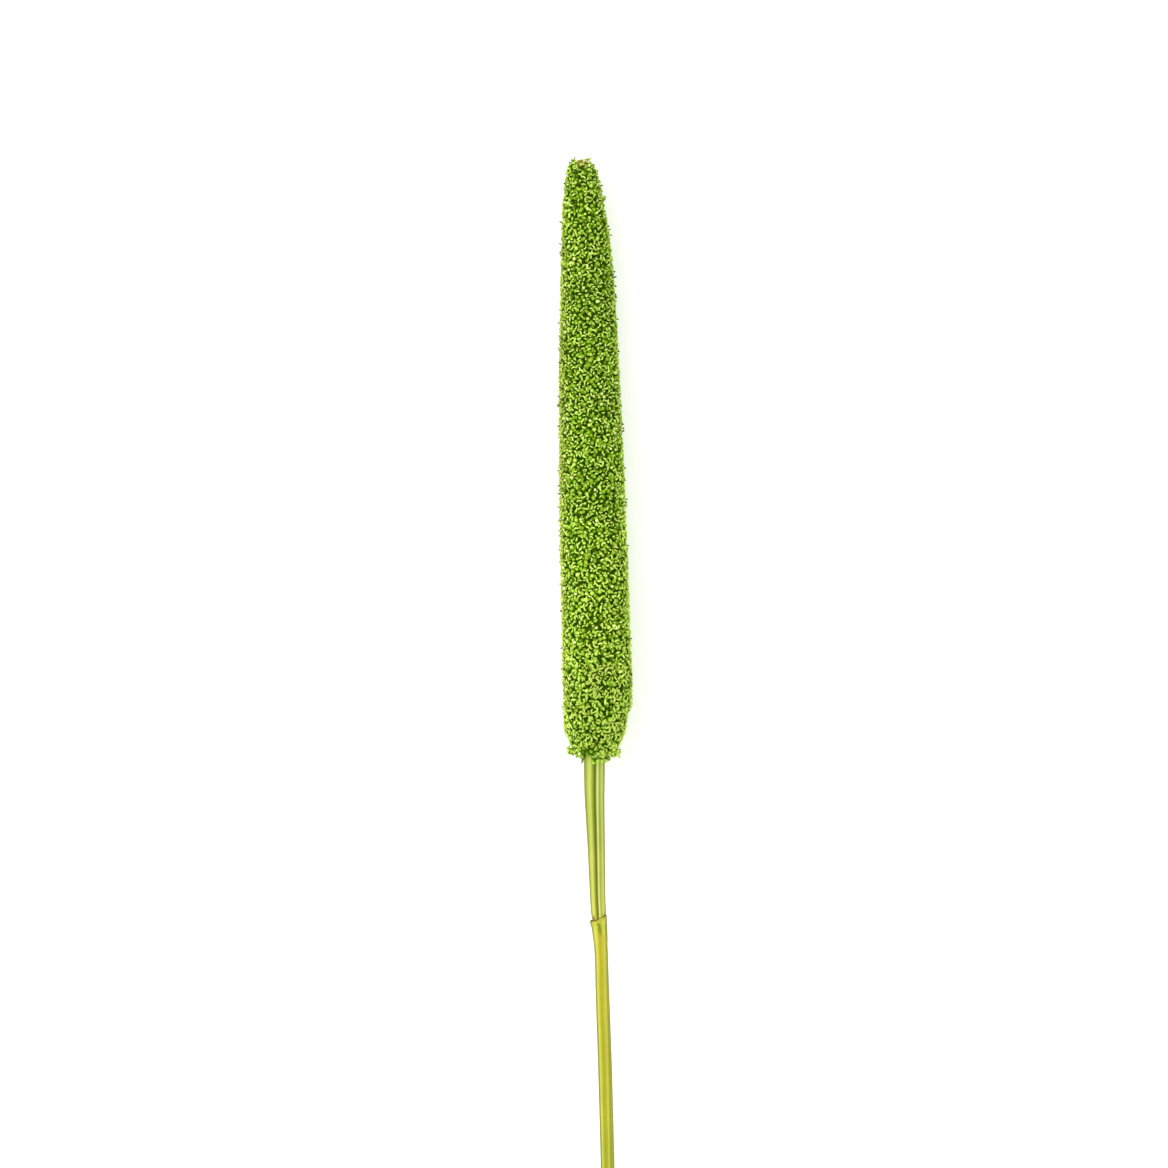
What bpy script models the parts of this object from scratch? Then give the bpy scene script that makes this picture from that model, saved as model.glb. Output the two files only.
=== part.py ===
"""Cattail stalk: a cut stem of green cattail millet, lying on its side.

The head points along +Y and the cut end of the stem along -Y. The floor is
z = 0, and the origin is the middle of the part's footprint. The stalk is
three grown pieces: the seed head, the stem that is set in its base, and the
torn stub of the leaf sheath around the stem's joint.

Every size below is in millimetres. The meshes are made in metres.
"""

import math
import random

import bmesh
import bpy
import numpy as np
from mathutils import Vector
from mathutils.geometry import delaunay_2d_cdt

METRES = 0.001
SEED = 7

# Seed head, from its tip to its base. Each row is the place along Y, the
# middle across (X), the middle's height (Z) and the radius over the florets.
HEAD_STATIONS = (
    (199.9, -5.4, 8.9, 2.2),
    (199.2, -5.4, 8.9, 4.4),
    (195.3, -5.1, 9.0, 6.2),
    (184.5, -4.4, 9.2, 7.9),
    (170.0, -3.6, 9.5, 9.1),
    (155.0, -3.0, 9.8, 10.0),
    (120.0, -2.3, 10.6, 11.2),
    (76.0, -1.2, 11.6, 12.2),
    (19.0, 0.5, 12.1, 12.7),
    (4.5, 0.8, 12.2, 12.6),
    (0.0, 0.2, 12.2, 11.8),
    (-7.0, -0.2, 12.2, 11.2),
    (-12.5, -0.4, 12.1, 9.8),
    (-15.4, -0.3, 12.1, 6.9),
    (-16.8, -0.3, 12.1, 5.2),
)

# Florets. They sit at golden-angle steps, as they grow, and each is a lump
# of three faces.
FLORET_SEATS = 1210
FLORET_HEIGHT = 1.5
FLORET_LEAN = 0.45
FLORET_UNEVEN = 0.35
SEAT_SHIFT = 0.35
GOLDEN_ANGLE = math.pi * (3.0 - math.sqrt(5.0))
TIP_RING_SIDES = 5
BASE_RING_SIDES = 20
WRAP_MARGIN = 2.2

# Stem, from inside the head to the cut end: place along Y, middle across
# (X) and radius.
STEM_STATIONS = (
    (-9.5, -0.3, 3.90),
    (-23.0, -0.3, 3.85),
    (-32.0, -0.2, 3.67),
    (-49.0, 0.4, 3.24),
    (-66.5, 0.8, 2.92),
    (-71.8, 1.1, 2.96),
    (-73.4, 1.2, 2.50),
    (-74.6, 1.3, 2.26),
    (-77.6, 1.5, 2.26),
    (-78.6, 1.6, 2.78),
    (-82.0, 1.8, 2.74),
    (-101.0, 2.6, 2.60),
    (-127.0, 3.5, 2.62),
    (-164.0, 4.5, 2.59),
    (-200.0, 5.3, 2.63),
)
STEM_RINGS_PER_SPAN = 3
STEM_TOP_HEIGHT = 12.1
STEM_SIDES = 16

# Groove along the top of the upper stretch, from the head to the joint.
GROOVE_DEPTH = 0.75
GROOVE_HALF_ANGLE = math.radians(9.0)
GROOVE_TOP_ANGLE = math.radians(86.0)
GROOVE_JOINT_ANGLE = math.radians(93.0)
GROOVE_FADE = (-73.5, -68.0)

# Leaf sheath stub around the joint.
SHEATH_BOTTOM = -78.0
SHEATH_RIM = -74.7
SHEATH_RIM_RISE = 1.0
SHEATH_RAG = 0.2
SHEATH_SIDES = 28
SHEATH_ROWS = 4
SHEATH_WALL = 0.32
SHEATH_FLARE = 0.40

# Space that each piece keeps from the next.
GAP = 0.3
SOCKET_SIDES = 32

HEAD_COLOUR = (0.20, 0.36, 0.045, 1.0)
STEM_COLOUR = (0.52, 0.55, 0.11, 1.0)
SHEATH_COLOUR = (0.47, 0.40, 0.08, 1.0)


def clear_scene():
    """Remove every object that the new file starts with."""
    for obj in list(bpy.data.objects):
        bpy.data.objects.remove(obj, do_unlink=True)


def new_collection(name):
    """Return a new collection that is linked to the scene."""
    collection = bpy.data.collections.new(name)
    bpy.context.scene.collection.children.link(collection)
    return collection


def new_material(name, colour, roughness):
    """Return a Principled material of one colour and roughness."""
    material = bpy.data.materials.new(name)
    material.use_nodes = True
    material.diffuse_color = colour
    shader = material.node_tree.nodes["Principled BSDF"]
    shader.inputs["Base Color"].default_value = colour
    shader.inputs["Roughness"].default_value = roughness
    shader.inputs["Metallic"].default_value = 0.0
    return material


def new_object(name, mesh_data, collection, material=None):
    """Turn a bmesh in millimetres into a named object in metres."""
    bmesh.ops.scale(mesh_data, vec=Vector((METRES,) * 3), verts=mesh_data.verts)
    bmesh.ops.recalc_face_normals(mesh_data, faces=mesh_data.faces)
    mesh = bpy.data.meshes.new(name)
    mesh_data.to_mesh(mesh)
    mesh_data.free()
    obj = bpy.data.objects.new(name, mesh)
    if material is not None:
        mesh.materials.append(material)
    collection.objects.link(obj)
    return obj


def smooth_curve(stations, steps):
    """Run a Catmull-Rom curve through the stations, column by column."""
    points = np.array(stations, dtype=float)
    first = 2.0 * points[0] - points[1]
    last = 2.0 * points[-1] - points[-2]
    knots = np.vstack((first, points, last))
    rows = []
    for index in range(1, len(knots) - 2):
        before, start, end, after = knots[index - 1:index + 3]
        for step in range(steps):
            t = step / steps
            rows.append(0.5 * (
                2.0 * start
                + (end - before) * t
                + (2.0 * before - 5.0 * start + 4.0 * end - after) * t ** 2
                + (3.0 * start - before - 3.0 * end + after) * t ** 3
            ))
    rows.append(points[-1])
    return np.array(rows)


def loft(mesh_data, rings):
    """Skin closed rings of points and return the first and last ring."""
    vert_rings = [[mesh_data.verts.new(point) for point in ring] for ring in rings]
    for lower, upper in zip(vert_rings, vert_rings[1:]):
        for index in range(len(lower)):
            after = (index + 1) % len(lower)
            mesh_data.faces.new((lower[index], lower[after], upper[after], upper[index]))
    return vert_rings[0], vert_rings[-1]


class HeadSurface:
    """The head's outer form, read by distance along its profile."""

    def __init__(self):
        self.rows = smooth_curve(HEAD_STATIONS, 24)
        profile = self.rows[:, [0, 3]]
        steps = np.linalg.norm(np.diff(profile, axis=0), axis=1)
        radius = 0.5 * (self.rows[1:, 3] + self.rows[:-1, 3])
        self.area = np.concatenate(((0.0,), np.cumsum(steps * radius)))
        self.turns = np.concatenate(((0.0,), np.cumsum(steps / radius)))

    def at_share(self, share):
        """Return the flat height of the ring that has this share of the area."""
        return float(np.interp(share * self.area[-1], self.area, self.turns))

    def point(self, angle, height):
        """Wrap a point of the flat sheet round the head."""
        y, x, z, radius = (float(np.interp(height, self.turns, column)) for column in self.rows.T)
        return Vector((x + radius * math.cos(angle), y, z + radius * math.sin(angle)))


def floret_seats(surface, rng):
    """Lay the florets' seats out flat, as (angle, height) pairs.

    The sheet keeps the head's angles true, so that triangles that are even
    on the sheet are even on the head.
    """
    seats = [Vector((math.tau * i / TIP_RING_SIDES, 0.0)) for i in range(TIP_RING_SIDES)]
    for index in range(FLORET_SEATS):
        share = (index + 1.5) / (FLORET_SEATS + 2.0)
        height = surface.at_share(share)
        ring_radius = float(np.interp(height, surface.turns, surface.rows[:, 3]))
        shift = SEAT_SHIFT / ring_radius
        angle = (index * GOLDEN_ANGLE + rng.uniform(-shift, shift)) % math.tau
        seats.append(Vector((angle, height + rng.uniform(-shift, shift) * 0.8)))
    top = float(surface.turns[-1])
    seats += [Vector((math.tau * i / BASE_RING_SIDES, top)) for i in range(BASE_RING_SIDES)]
    return seats


def seat_triangles(seats):
    """Join neighbouring seats in triangles, round the head's back as well."""
    wrapped = list(seats)
    owner = list(range(len(seats)))
    for index, seat in enumerate(seats):
        for turn in (-math.tau, math.tau):
            angle = seat.x + turn
            if -WRAP_MARGIN < angle < math.tau + WRAP_MARGIN:
                wrapped.append(Vector((angle, seat.y)))
                owner.append(index)
    _, _, faces, _, _, _ = delaunay_2d_cdt(wrapped, [], [], 0, 1e-7)
    triangles = []
    for face in faces:
        middle = sum(wrapped[corner].x for corner in face) / 3.0
        if 0.0 <= middle < math.tau:
            triangles.append([owner[corner] for corner in face])
    return triangles


def build_seed_head(collection, material):
    """Model the head: a skin of seats, each triangle raised to a floret."""
    rng = random.Random(SEED)
    surface = HeadSurface()
    seats = floret_seats(surface, rng)
    mesh_data = bmesh.new()
    verts = [mesh_data.verts.new(surface.point(seat.x, seat.y)) for seat in seats]
    for triangle in seat_triangles(seats):
        mesh_data.faces.new([verts[corner] for corner in triangle])
    bmesh.ops.contextual_create(mesh_data, geom=verts[:TIP_RING_SIDES])
    bmesh.ops.recalc_face_normals(mesh_data, faces=mesh_data.faces)

    base_ring = verts[-BASE_RING_SIDES:]
    for vert in verts[:-BASE_RING_SIDES]:
        vert.co -= vert.normal * FLORET_HEIGHT
    tips = bmesh.ops.poke(mesh_data, faces=mesh_data.faces, offset=FLORET_HEIGHT)["verts"]
    for tip in tips:
        lean = Vector([rng.uniform(-1.0, 1.0) for _ in range(3)])
        across = lean - lean.project(tip.normal)
        tip.co += across * FLORET_LEAN + tip.normal * rng.uniform(-1.0, 1.0) * FLORET_UNEVEN
    bmesh.ops.contextual_create(mesh_data, geom=base_ring)

    # The belly lies pressed flat where it touches the floor.
    for vert in mesh_data.verts:
        vert.co.z = max(vert.co.z, 0.0)
    return new_object("seed_head", mesh_data, collection, material)


def stem_height(y):
    """Height of the stem's middle: it sags from the head to the floor."""
    top, end = HEAD_STATIONS[-1][0], STEM_STATIONS[-1][0]
    share = max(0.0, (top - y) / (top - end))
    drop = STEM_TOP_HEIGHT - STEM_STATIONS[-1][2]
    return STEM_TOP_HEIGHT - drop * (3.0 * share ** 2 - share ** 3) / 2.0


def fade(value, low, high):
    """Rise smoothly from 0 at low to 1 at high."""
    share = min(1.0, max(0.0, (value - low) / (high - low)))
    return share * share * (3.0 - 2.0 * share)


def groove_angle(y):
    """Angle of the groove's line, which turns slightly down the stem."""
    share = fade(y, GROOVE_FADE[1], HEAD_STATIONS[-1][0])
    return GROOVE_JOINT_ANGLE + (GROOVE_TOP_ANGLE - GROOVE_JOINT_ANGLE) * share


def stem_ring(y, x, radius):
    """Return one cross-section of the stem, with its groove where it has one."""
    depth = GROOVE_DEPTH * fade(y, *GROOVE_FADE)
    middle = groove_angle(y)
    close = [step * GROOVE_HALF_ANGLE for step in (-2.0, -1.0, 0.0, 1.0, 2.0)]
    rest = (math.tau - 4.0 * GROOVE_HALF_ANGLE) / STEM_SIDES
    wide = [2.0 * GROOVE_HALF_ANGLE + rest * step for step in range(1, STEM_SIDES)]
    ring = []
    for offset in close + wide:
        notch = depth * math.exp(-(offset / GROOVE_HALF_ANGLE) ** 2) if offset in close else 0.0
        reach = radius - notch
        angle = middle + offset
        ring.append((x + reach * math.cos(angle), y, stem_height(y) + reach * math.sin(angle)))
    return ring


def build_stem(collection, material):
    """Model the stem as one loft, closed flat at both ends."""
    rows = smooth_curve(STEM_STATIONS, STEM_RINGS_PER_SPAN)
    mesh_data = bmesh.new()
    top, cut = loft(mesh_data, [stem_ring(*row) for row in rows])
    mesh_data.faces.new(top)
    mesh_data.faces.new(cut)
    stem = new_object("stem", mesh_data, collection, material)
    stem.data.shade_smooth()
    stem.data.set_sharp_from_angle(angle=math.radians(40.0))
    return stem


def build_sheath_stub(collection, material):
    """Model the torn collar: a flared tube with an uneven rim."""
    rows = smooth_curve(STEM_STATIONS, STEM_RINGS_PER_SPAN * 4)[::-1]
    inner_gap = GAP + SHEATH_WALL
    rings = []
    for row in range(SHEATH_ROWS):
        up = row / (SHEATH_ROWS - 1)
        ring = []
        for side in range(SHEATH_SIDES):
            angle = math.tau * side / SHEATH_SIDES
            rag = SHEATH_RAG * math.sin(5.0 * angle + 1.0)
            rim = SHEATH_RIM + SHEATH_RIM_RISE * math.cos(angle) + rag
            y = SHEATH_BOTTOM + (rim - SHEATH_BOTTOM) * up
            x = float(np.interp(y, rows[:, 0], rows[:, 1]))
            neck = float(np.interp(y, rows[:, 0], rows[:, 2]))
            lean = 0.5 - 0.5 * math.cos(angle)
            reach = neck + inner_gap + SHEATH_FLARE * lean * up ** 2
            ring.append((x + reach * math.cos(angle), y, stem_height(y) + reach * math.sin(angle)))
        rings.append(ring)
    mesh_data = bmesh.new()
    loft(mesh_data, rings)
    stub = new_object("leaf_sheath_stub", mesh_data, collection, material)
    wall = stub.modifiers.new("wall", "SOLIDIFY")
    wall.thickness = SHEATH_WALL * METRES
    wall.offset = -1.0
    stub.data.shade_smooth()
    return stub


def cut_socket(head, cutters):
    """Cut the blind hole in the head's base that the stem's top stands in."""
    top_y = STEM_STATIONS[0][0] + GAP
    mouth_y = HEAD_STATIONS[-1][0] - 2.0
    mesh_data = bmesh.new()
    bmesh.ops.create_cone(
        mesh_data,
        cap_ends=True,
        segments=SOCKET_SIDES,
        radius1=STEM_STATIONS[0][2] + GAP,
        radius2=STEM_STATIONS[0][2] + GAP,
        depth=top_y - mouth_y,
    )
    turn = Vector((0.0, 0.0, 1.0)).rotation_difference(Vector((0.0, 1.0, 0.0))).to_matrix()
    bmesh.ops.rotate(mesh_data, verts=mesh_data.verts, matrix=turn)
    middle = (STEM_STATIONS[0][1], (top_y + mouth_y) / 2.0, STEM_TOP_HEIGHT)
    bmesh.ops.translate(mesh_data, verts=mesh_data.verts, vec=Vector(middle))
    cutter = new_object("socket_cutter", mesh_data, cutters)
    cutter.hide_render = True
    cutter.display_type = "WIRE"
    socket = head.modifiers.new("stem_socket", "BOOLEAN")
    socket.operation = "DIFFERENCE"
    socket.solver = "EXACT"
    socket.object = cutter


def main():
    """Build the stalk's pieces in their places."""
    clear_scene()
    pieces = new_collection("cattail_stalk")
    cutters = new_collection("cutters")
    head = build_seed_head(pieces, new_material("floret_green", HEAD_COLOUR, 0.62))
    cut_socket(head, cutters)
    build_stem(pieces, new_material("stem_yellow_green", STEM_COLOUR, 0.45))
    build_sheath_stub(pieces, new_material("dry_sheath", SHEATH_COLOUR, 0.6))


main()
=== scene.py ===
"""Looks of a cattail stalk: a cut stem of green cattail millet, lying on its side.

The stalk lies along Y with its head's tip towards +Y. Sizes in the classes
are in millimetres and are turned into metres where a mesh is made, and the
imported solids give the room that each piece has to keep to.
"""

import logging
import math
from contextlib import contextmanager
from dataclasses import dataclass
from enum import Enum
from typing import Any, Callable, Iterator, Mapping, Sequence

import bpy
import numpy as np
from bpy.types import Material, Mesh, Node, NodeSocket, NodeTree, Object
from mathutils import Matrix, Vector
from numpy.random import Generator

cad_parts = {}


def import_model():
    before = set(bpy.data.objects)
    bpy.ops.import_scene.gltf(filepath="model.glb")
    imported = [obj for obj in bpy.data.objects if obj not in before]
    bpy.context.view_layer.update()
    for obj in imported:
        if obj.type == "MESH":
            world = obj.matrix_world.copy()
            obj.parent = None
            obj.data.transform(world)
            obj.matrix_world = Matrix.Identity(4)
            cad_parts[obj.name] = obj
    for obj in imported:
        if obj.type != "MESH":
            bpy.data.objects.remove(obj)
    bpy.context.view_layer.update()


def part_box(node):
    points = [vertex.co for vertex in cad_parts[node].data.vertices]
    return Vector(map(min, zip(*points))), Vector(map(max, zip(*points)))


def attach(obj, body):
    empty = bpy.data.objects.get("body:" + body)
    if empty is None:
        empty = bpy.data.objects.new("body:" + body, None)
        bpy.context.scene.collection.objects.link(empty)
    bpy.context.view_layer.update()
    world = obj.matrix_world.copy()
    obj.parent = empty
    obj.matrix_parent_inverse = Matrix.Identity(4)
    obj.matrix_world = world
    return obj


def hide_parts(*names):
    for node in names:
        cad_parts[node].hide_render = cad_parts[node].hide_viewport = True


LOG = logging.getLogger("cattail_stalk")
MM = 0.001
BODY = "root"
GOLDEN_ANGLE = math.pi * (3.0 - math.sqrt(5.0))
QUAD_CORNERS = 4

Colour = tuple[float, float, float, float]
Row = tuple[float, ...]
# Where a climb starts and ends, and the numbers there where they aren't 0 and 1.
Climb = tuple[float, ...]


def srgb(red: int, green: int, blue: int) -> Colour:
    """Turn a screen colour into the linear values that shaders take.

    Args:
        red: Red, 0 to 255.
        green: Green, 0 to 255.
        blue: Blue, 0 to 255.

    Returns:
        Linear red, green and blue, and an alpha of one.
    """
    def linear(value: int) -> float:
        """Return one channel's linear value."""
        share = value / 255.0
        return share / 12.92 if share <= 0.04045 else ((share + 0.055) / 1.055) ** 2.4

    return (linear(red), linear(green), linear(blue), 1.0)


def smooth_curve(stations: Sequence[Row], steps: int) -> np.ndarray:
    """Run a Catmull-Rom curve through stations, column by column.

    Args:
        stations: Rows of numbers, one row for each station.
        steps: Rows to make for each span between two stations.

    Returns:
        The rows along the curve, first and last station included.
    """
    points = np.array(stations, dtype=float)
    first = 2.0 * points[0] - points[1]
    last = 2.0 * points[-1] - points[-2]
    knots = np.vstack((first, points, last))
    share = (np.arange(steps) / steps)[:, None]
    rows = []
    for index in range(1, len(knots) - 2):
        before, start, end, after = knots[index - 1:index + 3]
        rows.append(0.5 * (
            2.0 * start
            + (end - before) * share
            + (2.0 * before - 5.0 * start + 4.0 * end - after) * share ** 2
            + (3.0 * start - before - 3.0 * end + after) * share ** 3
        ))
    return np.vstack((*rows, points[-1:]))


def ease(value: Any, low: float, high: float) -> Any:
    """Go smoothly from 0 at low to 1 at high, which may be the lower one of the two."""
    share = np.clip((value - low) / (high - low), 0.0, 1.0)
    return share * share * (3.0 - 2.0 * share)


def degrees_off(angle: np.ndarray, line: Any) -> np.ndarray:
    """Return how far angles in radians lie from a line in degrees, -180 to 180."""
    return (np.degrees(angle) - line + 180.0) % 360.0 - 180.0


@contextmanager
def editing(obj: Object, select: str = "SELECT") -> Iterator[None]:
    """Hold an object in edit mode, with faces to select.

    Args:
        obj: The mesh object to edit.
        select: What is done to all its faces first: SELECT or DESELECT.

    Yields:
        Nothing; edit mode ends with the block.
    """
    bpy.ops.object.select_all(action="DESELECT")
    obj.select_set(True)
    bpy.context.view_layer.objects.active = obj
    bpy.ops.object.mode_set(mode="EDIT")
    bpy.ops.mesh.select_mode(type="FACE")
    bpy.ops.mesh.select_all(action=select)
    yield
    bpy.ops.object.mode_set(mode="OBJECT")


def apply_modifier(obj: Object, kind: str, **settings: Any) -> None:
    """Add a modifier to an object and apply it.

    Args:
        obj: The mesh object.
        kind: The modifier's type name.
        **settings: The modifier's own settings.
    """
    bpy.ops.object.select_all(action="DESELECT")
    obj.select_set(True)
    bpy.context.view_layer.objects.active = obj
    modifier = obj.modifiers.new(kind.lower(), kind)
    for name, value in settings.items():
        setattr(modifier, name, value)
    bpy.ops.object.modifier_apply(modifier=modifier.name)


def choose_faces(obj: Object, wanted: Callable[[Vector, int], bool]) -> None:
    """Select the faces that a test picks, in edit mode.

    Args:
        obj: The object that is being edited, with nothing selected.
        wanted: Says yes to a face by its middle and its number of corners.
    """
    bpy.ops.object.mode_set(mode="OBJECT")
    for face in obj.data.polygons:
        face.select = wanted(face.center, len(face.vertices))
    bpy.ops.object.mode_set(mode="EDIT")


def draw_tube(name: str, rows: np.ndarray, sides: int) -> Object:
    """Draw a closed tube along Y: a disc that is extruded and resized.

    Args:
        name: The piece's name.
        rows: Rows of y, x, z and radius, in millimetres.
        sides: Corners of each cross-section.

    Returns:
        The new object, at the origin, with its place in its mesh.
    """
    rows = rows * MM
    y, x, z, radius = rows[0]
    bpy.ops.object.select_all(action="DESELECT")
    bpy.ops.mesh.primitive_circle_add(
        vertices=sides,
        radius=radius,
        fill_type="NGON",
        location=(x, y, z),
        rotation=(math.pi / 2.0, 0.0, 0.0),
    )
    tube = bpy.context.active_object
    tube.name = name
    tube.data.name = name
    bpy.ops.object.transform_apply(location=True, rotation=True, scale=True)
    with editing(tube):
        for before, after in zip(rows, rows[1:]):
            middle = after[[1, 0, 2]]
            step = middle - before[[1, 0, 2]]
            scale = after[3] / before[3]
            bpy.ops.mesh.extrude_region_move(TRANSFORM_OT_translate={"value": tuple(step)})
            bpy.ops.transform.resize(value=(scale, 1.0, scale), center_override=tuple(middle))
        bpy.ops.mesh.select_all(action="SELECT")
        bpy.ops.mesh.normals_make_consistent(inside=False)
    return tube


def read_points(mesh: Mesh) -> np.ndarray:
    """Read where a mesh's points are.

    Args:
        mesh: The mesh.

    Returns:
        A row of x, y and z for each point.
    """
    flat = np.empty(len(mesh.vertices) * 3)
    mesh.vertices.foreach_get("co", flat)
    return flat.reshape(-1, 3)


def paint(mesh: Mesh, name: str, values: np.ndarray) -> None:
    """Store a number or a vector at each point, for the materials to read.

    Args:
        mesh: The mesh to paint.
        name: The attribute's name.
        values: One number for each point, or a row of three.
    """
    kind, key = ("FLOAT", "value") if values.ndim == 1 else ("FLOAT_VECTOR", "vector")
    layer = mesh.attributes.new(name, kind, "POINT")
    layer.data.foreach_set(key, values.astype(np.float32).ravel())


def paint_fibre(mesh: Mesh, y: np.ndarray, angle: np.ndarray, pace: float) -> None:
    """Paint two numbers that go round the stem, and one that runs along it at a pace per millimetre."""
    paint(mesh, "fibre", np.stack((np.cos(angle), np.sin(angle), y * pace), axis=1))


def weigh(obj: Object, name: str, weights: np.ndarray) -> None:
    """Store weights in a new vertex group, for a modifier to follow.

    Args:
        obj: The mesh object.
        name: The group's name.
        weights: One weight for each point, 0 to 1.
    """
    group = obj.vertex_groups.new(name=name)
    for index in np.flatnonzero(weights > 0.0):
        group.add([int(index)], float(weights[index]), "REPLACE")


def hand_over(piece: Object, node: str) -> None:
    """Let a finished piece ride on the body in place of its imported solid.

    Args:
        piece: The finished object.
        node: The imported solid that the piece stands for.
    """
    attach(piece, BODY)
    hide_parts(node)
    piece.data.calc_loop_triangles()
    LOG.info("%s: %d triangles", piece.name, len(piece.data.loop_triangles))


class Sketch:
    """A node tree that is being drawn up."""

    def __init__(self, tree: NodeTree) -> None:
        """Start on a tree."""
        self.tree = tree

    def wire(self, value: Any, socket: NodeSocket) -> None:
        """Feed an input.

        Args:
            value: Another node's output, or a plain value.
            socket: The input.
        """
        if isinstance(value, NodeSocket):
            self.tree.links.new(value, socket)
        else:
            socket.default_value = value

    def add(self, kind: str, inputs: Mapping[str | int, Any], **settings: Any) -> Node:
        """Add one node, set it up and wire it.

        Args:
            kind: The node's type, without ShaderNode in front.
            inputs: A value or an output for each named or numbered input.
            **settings: The node's own settings.

        Returns:
            The new node.
        """
        node = self.tree.nodes.new("ShaderNode" + kind)
        for name, value in settings.items():
            setattr(node, name, value)
        for name, value in inputs.items():
            self.wire(value, node.inputs[name])
        return node

    def place(self) -> NodeSocket:
        """Return the place on the object, in metres."""
        return self.add("TexCoord", {}).outputs["Object"]

    def axis(self, vector: NodeSocket, name: str) -> NodeSocket:
        """Return a vector's X, Y or Z."""
        return self.add("SeparateXYZ", {0: vector}).outputs[name]

    def painted(self, name: str, output: str = "Fac") -> NodeSocket:
        """Return what paint() stored under a name."""
        return self.add("Attribute", {}, attribute_name=name).outputs[output]

    def work_out(self, kind: str, *values: Any) -> NodeSocket:
        """Combine numbers or outputs with one Math node of a kind, such as MULTIPLY."""
        return self.add("Math", dict(enumerate(values)), operation=kind).outputs[0]

    def times(self, first: Any, second: Any) -> NodeSocket:
        """Return the product of two numbers."""
        return self.work_out("MULTIPLY", first, second)

    def cells(self, scale: float) -> NodeSocket:
        """Return the distance from the middle of the nearest of many small cells."""
        return self.add("TexVoronoi", {"Vector": self.place(), "Scale": scale}).outputs["Distance"]

    def noise(self, place: Any, scale: float, detail: float = 2.0) -> NodeSocket:
        """Return smooth noise at a place, about 0.3 to 0.7."""
        return self.add("TexNoise", {"Vector": place, "Scale": scale, "Detail": detail}).outputs["Fac"]

    def span(self, value: Any, low: float, high: float, first: float = 0.0, last: float = 1.0) -> Any:
        """Go smoothly from the first number to the last as a value goes from low to high."""
        numbers = {"Value": value, "From Min": low, "From Max": high, "To Min": first, "To Max": last}
        return self.add("MapRange", numbers, interpolation_type="SMOOTHSTEP").outputs["Result"]

    def blend(self, share: Any, first: Any, second: Any, kind: str = "MIX") -> NodeSocket:
        """Mix two colours.

        Args:
            share: How much of the second, as a number or an output.
            first: A colour or an output.
            second: A colour or an output.
            kind: The way of mixing, as the Mix node names it.

        Returns:
            The mixed colour.
        """
        node = self.add("Mix", {}, data_type="RGBA", blend_type=kind)
        self.wire(share, node.inputs[0])
        self.wire(first, node.inputs[6])
        self.wire(second, node.inputs[7])
        return node.outputs[2]

    def lay_over(self, colour: Any, *layers: tuple[Any, Any]) -> NodeSocket:
        """Lay colours over one another.

        Args:
            colour: The lowest colour.
            *layers: A share and a colour for each layer over it.

        Returns:
            The mixed colour.
        """
        for share, over in layers:
            colour = self.blend(share, colour, over)
        return colour

    def group(self, tree: NodeTree, inputs: Mapping[str, Any]) -> Node:
        """Place a node group, with a value or an output for each named input."""
        return self.add("Group", inputs, node_tree=tree)

    def grown(self, colour: Any, *growth: float) -> NodeSocket:
        """Return a plant's colour, made uneven.

        Args:
            colour: The even colour.
            *growth: The group's patch scale, speck scale, hue drift and speck depth, where they differ.

        Returns:
            The uneven colour.
        """
        names = ("Patch Scale", "Speck Scale", "Hue Drift", "Speck Depth")
        inputs = {"Colour": colour, "Place": self.place(), **dict(zip(names, growth))}
        return self.group(Effects.uneven_growth(), inputs).outputs[0]

    def cover(self, colour: NodeSocket, height: Any = None, relief: Row = (0.0, 0.0)) -> None:
        """Give the material its colour and, where there is a height, its bump.

        Args:
            colour: The colour's output.
            height: The output to read as height.
            relief: How far a height of 1 stands out, in millimetres, and the bump's strength.
        """
        shader = self.tree.nodes["Principled BSDF"]
        self.wire(colour, shader.inputs["Base Color"])
        if height is not None:
            distance, strength = relief
            bump = self.add("Bump", {"Height": height, "Distance": distance * MM, "Strength": strength})
            self.wire(bump.outputs[0], shader.inputs["Normal"])


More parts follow.
